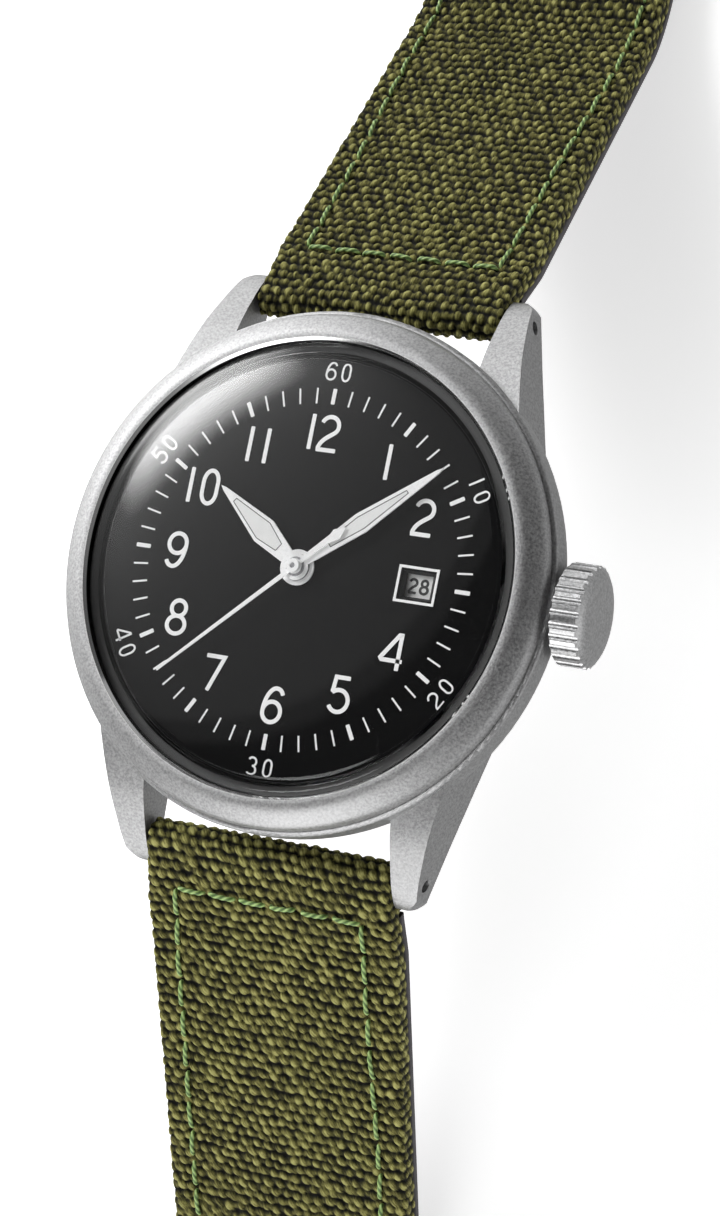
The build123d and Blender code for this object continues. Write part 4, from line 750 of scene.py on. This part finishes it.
def ribbon(name, P, N, B, w, T, r, mat, body, v, counts, back=1.0, closed=False, relief=0.0, seams=(), tip=None,
           holes=(), slots=(), replaces=(), crown=0.0, uoff=0.0, wall=2.3, style=(1.0, 0.22, 0.3), twist=35.0,
           cap=False):
    """A band whose outer face follows P (with outward normals N) and spans B; its edges roll round and return under.
    P, N are (n,3); B is (3,); w, T, r are per row: half width, thickness, edge radius."""
    nF, nA, nS, nR = counts
    rows = len(P)
    P, N = np.asarray(P, float), np.asarray(N, float)
    w, T, r = (np.broadcast_to(np.asarray(q, float), (rows,)).copy() for q in (w, T, r))
    r = np.minimum(r, T * 0.95)
    F = np.maximum(w - r, 0.001)
    half = []
    for k in range(1, nF + 1):
        half.append(("F", k / nF))
    half += [("A", k / nA) for k in range(1, nA + 1)]
    half += [("S", k / nS) for k in range(1, nS + 1)]
    half += [("R", k / nR) for k in range(1, nR + 1)]
    xs, ns, nx, nn, us = [], [], [], [], []
    arc_len = math.pi / 2 * r
    for kind, t in [("F", 0.0)] + half:
        if kind == "F":
            xs.append(F * t); ns.append(0 * r); nx.append(0 * r); nn.append(1 + 0 * r); us.append(F * t)
        elif kind == "A":
            f = t * math.pi / 2
            xs.append(F + r * math.sin(f)); ns.append(-r * (1 - math.cos(f)))
            nx.append(math.sin(f) + 0 * r); nn.append(math.cos(f) + 0 * r); us.append(F + arc_len * t)
        elif kind == "S":
            xs.append(w + 0 * r); ns.append(-r - (T - r) * t); nx.append(1 + 0 * r); nn.append(0 * r)
            us.append(F + arc_len + (T - r) * t)
        else:
            b = np.minimum(back, w * 0.999)
            xs.append(w - b * t); ns.append(-T + 0 * r); nx.append(0 * r); nn.append(-1 + 0 * r)
            us.append(F + arc_len + (T - r) + b * t)
    pos = [np.stack(q, 1) for q in (xs, ns, nx, nn, us)]
    X = np.concatenate([-pos[0][:, :0:-1], pos[0]], 1)
    NS = np.concatenate([pos[1][:, :0:-1], pos[1]], 1)
    NX = np.concatenate([-pos[2][:, :0:-1], pos[2]], 1)
    NN = np.concatenate([pos[3][:, :0:-1], pos[3]], 1)
    U = np.concatenate([-pos[4][:, :0:-1], pos[4]], 1)
    cols = X.shape[1]
    V = np.repeat(np.asarray(v, float)[:, None], cols, 1)
    if crown:
        NS = NS - crown * (X / np.maximum(w[:, None], 0.5)) ** 2 * (NN > -0.5)
    if tip is not None:                      # rounded end: lower the face near it
        d = tip(X, V)
        rr = r[:, None]
        drop = np.where(d < rr, rr - np.sqrt(np.clip(rr ** 2 - (rr - np.clip(d, 0, None)) ** 2, 0, None)), 0.0)
        NS = np.where(NN > 0.3, np.minimum(NS, -drop), NS)
    B = np.asarray(B, float)
    base = P[:, None, :] + X[..., None] * B + NS[..., None] * N[:, None, :]
    nor = NX[..., None] * B + NN[..., None] * N[:, None, :]
    attrs = {}
    if relief:
        # the second value is the weave's painted shade, carried to the canvas colour
        h, lev, yarn = weave(U + uoff, V, style)
        fade = np.where(NN < -0.5, 0.25, 1.0) * np.where(np.abs(NX) > 0.6, 0.5, 1.0)
        h = h * relief * fade
        if len(seams):
            sd = seam_distance(X, V, seams)
            h = h - 0.13 * np.exp(-(sd / 0.38) ** 2) * (NN > 0.3)
        base = base + nor * h[..., None]
        ct, st = math.cos(math.radians(twist)), math.sin(math.radians(twist))
        attrs = {"fibre_xy": np.stack([U * ct - V * st, U * st + V * ct, 0 * U], -1).reshape(-1, 3), "weave_painted_shade": lev.ravel(),
                 "yarn": yarn.ravel()}
    verts = base.reshape(-1, 3)
    idx = np.arange(rows * cols).reshape(rows, cols)
    if closed:
        a, b = idx, np.roll(idx, -1, 0)
    else:
        a, b = idx[:-1], idx[1:]
    quads = np.stack([a[:, :-1], b[:, :-1], b[:, 1:], a[:, 1:]], -1).reshape(-1, 4)
    # orientation: the normal of a face points along the outward normal
    q = quads[len(quads) // 2]
    fn = np.cross(verts[q[1]] - verts[q[0]], verts[q[3]] - verts[q[0]])
    if fn @ nor.reshape(-1, 3)[q[0]] < 0:
        quads = quads[:, ::-1]
    extra_v, extra_f, extra_from = [], [], []
    if cap:                                  # closes the far end
        end = idx[-1].tolist()
        q = verts[end]
        area = np.cross(q - q[0], np.roll(q, -1, 0) - q[0]).sum(0)
        extra_f.append(tuple(end) if area @ (P[-1] - P[-2]) > 0 else tuple(reversed(end)))
    flatX, flatV, flatN = X.ravel(), V.ravel(), NN.ravel()
    rowN = np.repeat(N, cols, 0)
    for (hx, hv, size) in list(holes) + list(slots):
        if isinstance(size, tuple):
            inside = (np.abs(flatX - hx) < size[0]) & (np.abs(flatV - hv) < size[1])
        else:
            inside = np.hypot(flatX - hx, flatV - hv) < size
        inside &= flatN > -0.9 if not isinstance(size, tuple) else True
        kill = inside[quads].any(1)
        keep = quads[~kill]
        gone = quads[kill]
        edges = {}
        for f4 in gone:
            for k in range(4):
                e = (int(f4[k]), int(f4[(k + 1) % 4]))
                if (e[1], e[0]) in edges:
                    del edges[(e[1], e[0])]
                else:
                    edges[e] = True
        ring = sorted({i for e in edges for i in e})
        if not isinstance(size, tuple):
            for i in ring:                   # pull the rim onto the circle
                dx, dv = flatX[i] - hx, flatV[i] - hv
                dist = math.hypot(dx, dv)
                row = i // cols
                tang = np.gradient(P, axis=0)[row]
                tang /= np.linalg.norm(tang)
                verts[i] += B * (dx / dist * (size - dist)) + tang * (dv / dist * (size - dist))
        low = {}
        for i in ring:
            low[i] = len(verts) + len(extra_v)
            extra_v.append(verts[i] - rowN[i] * (wall if not isinstance(size, tuple) else 0.5))
            extra_from.append(i)
        for (i, j) in edges:
            extra_f.append((j, i, low[i], low[j]))
        quads = keep
    faces = quads.tolist() + extra_f
    if extra_v:
        verts = np.vstack([verts, np.array(extra_v)])
        for key in attrs:
            # the walls of the holes take a darker painted shade
            attrs[key] = np.concatenate([attrs[key], attrs[key][extra_from] * (0.3 if key == "weave_painted_shade" else 1.0)])
    used = np.zeros(len(verts), bool)
    used[np.unique(np.concatenate([quads.ravel()] + [np.array(f, int) for f in extra_f]))] = True
    remap = np.cumsum(used) - 1
    faces = [tuple(int(remap[i]) for i in f) for f in faces]
    attrs = {k: q[used] for k, q in attrs.items()}
    return new_piece(name, verts[used], faces, mat, body, attrs=attrs, replaces=replaces)


def width_at(y, table):
    t = np.array(table)
    return np.interp(y, t[:, 0], t[:, 1])


def tip_half(y, tip):
    """half width of the rounded tip at distance y"""
    rad = (9.0 ** 2 + 6.5 ** 2) / (2 * 6.5)
    c = tip - rad
    return np.where(y > tip - 6.5, np.sqrt(np.clip(rad ** 2 - np.clip(y - c, 0, rad) ** 2, 0, None)), 99.0)


strap_data = {}
for strap, side, path, widths in (("strap_12", 1, path_12, width_12), ("strap_6", -1, path_6, width_6)):
    raw = canvas_path(path, side)
    step = (lambda t: 0.125 if t < 42 else 0.21) if side > 0 else (lambda t: 0.125 if t < 38 else 0.24)
    t, rowsd = dense(raw, step)
    # arc length counted from the bar: zero where the straight run starts
    start = next(i for i in range(len(rowsd)) if t[i] > 2.9 + math.pi * 1.29)
    v = t - t[start]
    y, z = rowsd[:, 0], rowsd[:, 1]
    nrm = rowsd[:, 2:4] / np.linalg.norm(rowsd[:, 2:4], axis=1)[:, None]
    puff = np.where(nrm[:, 1] > 0, 0.30 * np.exp(-((v - 2.6) / 3.0) ** 2), 0.0)        # the thick fold beside the bar
    P = np.stack([0 * y, (y + nrm[:, 0] * puff) * side, z + nrm[:, 1] * puff], 1)
    N = np.stack([0 * y, nrm[:, 0] * side, nrm[:, 1]], 1)
    w = width_at(y, widths)
    under = nrm[:, 1] < 0
    w = w - 0.12 * under
    T = rowsd[:, 4]
    tipf = None
    if side < 0:
        w = np.minimum(w, tip_half(y, path[7]) + 0.02)
        end_v = v[-1]
        rad = (9.0 ** 2 + 6.5 ** 2) / (2 * 6.5)

        def tipf(X, V, end_v=end_v, rad=rad):
            dy = V - (end_v - rad)
            return np.where(dy > 0, rad - np.hypot(np.where(dy > 0, X, 0), np.clip(dy, 0, None)), 9.0)
    if side > 0:
        chains = [[(-8.0, 4.72), (8.0, 4.42)], [(-8.0, 4.72), (-8.2, 16.1), (-8.7, 27.0), (-8.55, 40.0), (-7.6, 63.0)],
                  [(8.0, 4.42), (8.25, 16.1), (8.9, 28.8), (8.55, 40.0), (7.6, 63.0)], [(-7.6, 63.0), (7.6, 63.0)]]
    else:
        chains = [[(-7.63, 3.3), (7.66, 3.3)], [(-7.63, 3.3), (-7.95, 9.7), (-7.95, 26.5), (-7.7, 60.0), (-7.2, 103.0)],
                  [(7.66, 3.3), (7.58, 9.9), (8.05, 24.0), (7.7, 60.0), (7.2, 103.0)],
                  [(-7.2, 103.0), (-5.2, 107.6), (-1.6, 110.2), (1.6, 110.2), (5.2, 107.6), (7.2, 103.0)]]
    seams = [(c[k], c[k + 1]) for c in chains for k in range(len(c) - 1)]
    holes, slots = [], []
    flat_v = lambda yy: float(np.interp(yy, y[start:len(y) if side < 0 else int(np.argmax(y))], v[start:len(y) if side < 0 else int(np.argmax(y))]))
    if side < 0:
        holes = [(0.0, flat_v(tip_y - 20 - 6.5 * i), 0.9) for i in range(7)]
    else:
        mid = float(v[int(np.argmax(y))])
        slots = [(0.0, mid - 0.6, (1.15, 4.6))]
    # the last number of style paints strap 6's bumps brighter at their far end
    piece = ribbon(strap + "_cloth", P, N, (1, 0, 0), w, T, 0.34, M["canvas"], strap, v, (72, 4, 7, 4), back=1.1,
                   relief=1.0, seams=seams, tip=tipf, holes=holes, slots=slots, replaces=(strap + "_canvas",),
                   crown=0.03, uoff=0.23 if side > 0 else 0.05, style=(0.80, 0.05, 0.0) if side > 0 else (1.0, 0.22, 0.30),
                   twist=4.0 if side > 0 else 35.0, cap=side < 0)
    strap_data[strap] = dict(P=P, N=N, v=v, chains=chains, rad=0.158 if side > 0 else 0.17)

    # lining: its outer face is the underside
    s, y1, z1, r, cy, cz, level, end_y = path
    d, n = (math.cos(s), -math.sin(s)), (math.sin(s), math.cos(s))
    lr = []
    run = (y1 - bar_y) / math.cos(s)
    for a in np.linspace(3.25, run, 60):
        lr.append((bar_y + d[0] * a - n[0] * 1.2, bar_z + d[1] * a - n[1] * 1.2, -n[0], -n[1]))
    for f in np.linspace(s, 0, 30)[1:]:
        lr.append((cy - (r + 1.2) * math.sin(f), cz - (r + 1.2) * math.cos(f), -math.sin(f), -math.cos(f)))
    last = end_y - 3.45 if side > 0 else end_y - 0.25
    for yy in np.linspace(cy, last, 120)[1:]:
        lr.append((yy, level - 1.2, 0, -1))
    tl, lrow = dense(lr, 0.35)
    ly, lz = lrow[:, 0], lrow[:, 1]
    ln = lrow[:, 2:4] / np.linalg.norm(lrow[:, 2:4], axis=1)[:, None]
    lw = width_at(ly, widths) - 0.04
    if side < 0:
        lw = np.minimum(lw, tip_half(ly, end_y) - 0.1)
        lw = np.maximum(lw, 0.3)
    lholes = []
    if side < 0:
        lholes = [(0.0, float(np.interp(tip_y - 20 - 6.5 * i, ly, tl)), 0.9) for i in range(7)]
    ribbon(strap + "_backing", np.stack([0 * ly, ly * side, lz], 1), np.stack([0 * ly, ln[:, 0] * side, ln[:, 1]], 1), (1, 0, 0),
           lw, 0.84, 0.18, M["lining"], strap, tl, (26, 4, 2, 3), back=1.2, holes=lholes,
           replaces=(strap + "_lining",), wall=0.8, cap=True)


# ------------------------------------------------------------------ stitches
def stitches(name, data, body, gap=0.42):
    """Two-ply thread in running stitches along each chain of seam points."""
    verts, faces, twist = [], [], []
    up = np.where(data["N"][:, 2] > 0)[0]
    vv, PP, NN = data["v"][up], data["P"][up], data["N"][up]
    SEG, SIDES, rad = 17, 12, data["rad"]
    for k, chain in enumerate(data["chains"]):
        c2 = np.array(chain, float)
        s = np.concatenate([[0], np.cumsum(np.hypot(*(c2[1:] - c2[:-1]).T))])
        pitch = 2.42 if k == 0 else 2.70
        cnt = max(1, round(s[-1] / pitch))
        p = s[-1] / cnt
        for c in range(cnt):
            jit = float(hash2(np.array(k * 1.0), np.array(c * 1.0), 9)) - 0.5
            mid = (c + 0.5) * p + jit * 0.12
            ln = (p - gap) * (1 + jit * 0.10)
            pts, nns = [], []
            for q in np.linspace(-1, 1, SEG):
                at = min(max(mid + q * ln / 2, 0.02), s[-1] - 0.02)
                x, a = np.interp(at, s, c2[:, 0]), np.interp(at, s, c2[:, 1])
                side = jit * 0.16 * q
                x, a = (x + side, a) if k else (x, a + side)
                base = np.array([np.interp(a, vv, PP[:, i]) for i in range(3)])
                nn = np.array([np.interp(a, vv, NN[:, i]) for i in range(3)])
                pts.append(base + np.array([x, 0, 0]) + nn * (0.145 - 0.36 * abs(q) ** 5 - 0.03 * (x / 10) ** 2))
                nns.append(nn)
            pts = np.array(pts)
            tan = np.gradient(pts, axis=0)
            tan /= np.linalg.norm(tan, axis=1)[:, None]
            run = np.concatenate([[0], np.cumsum(np.linalg.norm(pts[1:] - pts[:-1], axis=1))])
            start = len(verts)
            for i in range(SEG):
                sd = np.cross(tan[i], nns[i])
                sd /= np.linalg.norm(sd)
                upv = np.cross(sd, tan[i])
                end = 1.0 if 0 < i < SEG - 1 else 0.55
                phase = run[i] * math.pi / 0.62
                for m in range(SIDES):
                    th = 2 * math.pi * m / SIDES
                    lobe = rad * end * (0.78 + 0.30 * abs(math.cos(th - phase)))
                    verts.append(pts[i] + sd * math.cos(th) * lobe + upv * math.sin(th) * lobe * 0.9)
                    # painted ply shade: light on each ply's crest, dark in the groove between the plies
                    twist.append(2 * (th - phase) + math.pi / 2)
            for i in range(SEG - 1):
                for m in range(SIDES):
                    a_, b_ = start + i * SIDES + m, start + i * SIDES + (m + 1) % SIDES
                    faces.append((a_, a_ + SIDES, b_ + SIDES, b_))
            faces.append(tuple(start + m for m in range(SIDES)))
            faces.append(tuple(start + (SEG - 1) * SIDES + m for m in reversed(range(SIDES))))
    twist = np.array(twist)
    return new_piece(name, verts, faces, M["thread"], body, attrs={"ply_painted_shade": np.sin(twist)})


for strap in ("strap_12", "strap_6"):
    stitches(strap + "_stitches", strap_data[strap], strap)


# ------------------------------------------------------------------ keepers
def keeper(name, body, half, y0):
    inner_h = strap_t + 0.1 + keeper_gap
    cz = stand_z + keeper_t + inner_h / 2
    hx, hz, rc = half + keeper_t - 0.06, inner_h / 2 + keeper_t - 0.06, 1.2
    pts = []
    for cx, czz, a0 in ((hx - rc, hz - rc, 90), (-(hx - rc), hz - rc, 180), (-(hx - rc), -(hz - rc), 270), (hx - rc, -(hz - rc), 360)):
        for a in np.linspace(a0 - 90, a0, 14):
            c, s = math.cos(math.radians(a)), math.sin(math.radians(a))
            pts.append((cx + rc * c, czz + rc * s, c, s))
    pts.append(pts[0])
    t, q = dense(pts, 0.145)
    t, q = t[:-1], q[:-1]
    nrm = q[:, 2:4] / np.linalg.norm(q[:, 2:4], axis=1)[:, None]
    P = np.stack([q[:, 0], 0 * t + y0 + 2.5, cz + q[:, 1]], 1)
    N = np.stack([nrm[:, 0], 0 * t, nrm[:, 1]], 1)
    total = t[-1] + (t[1] - t[0])
    cells = round(total / (2 * B_WEFT)) * 2
    v = t / total * cells * B_WEFT
    ob = ribbon(name + "_cloth", P, N, (0, 1, 0), 2.5, 0.84, 0.36, M["canvas"], body, v, (15, 5, 3, 6), back=2.5,
                closed=True, relief=0.75, replaces=(name,), uoff=0.1)
    return ob


keeper("fixed_keeper", "strap_12", 9.35, buckle_y - 8.4)
keeper("sliding_keeper", "sliding_keeper", 10.05, 66.0)

# ------------------------------------------------------------------ studio
floor_m = Nodes("studio_floor")
fn = floor_m.noise(14.0, 2.0)
floor_m.set(Base_Color=floor_m.mix(floor_m.range(fn, 0.3, 0.7, 0, 1), (0.86, 0.86, 0.86), (0.89, 0.89, 0.89)), Roughness=0.7,
            Specular_IOR_Level=0.2, Emission_Color=(1.0, 1.0, 1.0), Emission_Strength=0.60)
me = bpy.data.meshes.new("floor")
S = 4.0
me.from_pydata([(-S, -S, stand_z * MM), (S, -S, stand_z * MM), (S, S, stand_z * MM), (-S, S, stand_z * MM)], [], [(0, 1, 2, 3)])
me.materials.append(floor_m.mat)
floor = bpy.data.objects.new("floor", me)
scene.collection.objects.link(floor)
floor.visible_glossy = False


world = bpy.data.worlds.new("studio")
scene.world = world
world.use_nodes = True
wn = world.node_tree
wn.nodes.clear()
wo = wn.nodes.new("ShaderNodeOutputWorld")
wb = wn.nodes.new("ShaderNodeBackground")
tc = wn.nodes.new("ShaderNodeTexCoord")


def wmath(op, a, b=None):
    n = wn.nodes.new("ShaderNodeMath")
    n.operation = op
    for i, v in enumerate((a, b)):
        if v is None:
            continue
        if isinstance(v, (int, float)):
            n.inputs[i].default_value = v
        else:
            wn.links.new(v, n.inputs[i])
    return n.outputs[0]


def towards(direction):
    n = wn.nodes.new("ShaderNodeVectorMath")
    n.operation = "DOT_PRODUCT"
    n.inputs[1].default_value = Vector(direction).normalized()
    wn.links.new(tc.outputs["Generated"], n.inputs[0])
    return n.outputs["Value"]


def lobe(direction, strength, sharp):
    """soft light round a direction: strength * cos(angle) ** sharp"""
    c = wmath("MAXIMUM", towards(direction), 0.0)
    return wmath("MULTIPLY", wmath("POWER", c, float(sharp)), float(strength))


def panel(direction, strength, lo, hi):
    """soft-edged light: full where the cosine of the angle passes hi, none below lo"""
    n = wn.nodes.new("ShaderNodeMapRange")
    n.interpolation_type = "SMOOTHSTEP"
    n.inputs["From Min"].default_value = lo
    n.inputs["From Max"].default_value = hi
    n.inputs["To Max"].default_value = strength
    wn.links.new(towards(direction), n.inputs["Value"])
    return n.outputs["Result"]


sep = wn.nodes.new("ShaderNodeSeparateXYZ")
wn.links.new(tc.outputs["Generated"], sep.inputs[0])
flat = wmath("SUBTRACT", 1.0, wmath("MINIMUM", wmath("ABSOLUTE", sep.outputs["Z"]), 1.0))
low = wn.nodes.new("ShaderNodeMapRange")                    # 1 near the horizon, 0 above about 28 degrees
low.interpolation_type = "SMOOTHSTEP"
low.inputs["From Min"].default_value = 0.28
low.inputs["From Max"].default_value = 0.48
low.inputs["To Min"].default_value = 1.0
low.inputs["To Max"].default_value = 0.0
wn.links.new(sep.outputs["Z"], low.inputs["Value"])
light = wmath("MULTIPLY", wmath("POWER", flat, 3.0), 0.26)                                  # pale walls all round
light = wmath("ADD", light, wmath("MULTIPLY", wmath("LESS_THAN", sep.outputs["Z"], 0.0), 0.45))   # the table's glow
cards = wmath("ADD", lobe((-0.95, 0.28, 0.12), 1.7, 8), lobe((-0.64, 0.73, 0.23), 2.9, 12))
cards = wmath("ADD", cards, lobe((-0.12, -0.96, 0.22), 4.0, 12))
cards = wmath("ADD", cards, lobe((0.94, -0.32, 0.08), 0.75, 6))
light = wmath("ADD", light, wmath("MULTIPLY", cards, low.outputs["Result"]))                # white cards standing round it
for part in (
    panel((-0.676, 0.397, 0.621), 12.9, 0.9635, 1.0),       # key, upper left
    lobe((-0.676, 0.397, 0.621), 2.03, 22.6),
    panel((-0.662, 0.743, 0.097), 0.239, 0.29, 0.325),      # overhead veil with its edge towards the lower right
    panel((-0.13, -0.81, 0.57), 4.0, 0.93, 0.975),          # second light, from the near side
):
    light = wmath("ADD", light, part)
wn.links.new(light, wb.inputs["Strength"])
wb.inputs["Color"].default_value = (1, 1, 1, 1)
wn.links.new(wb.outputs[0], wo.inputs["Surface"])
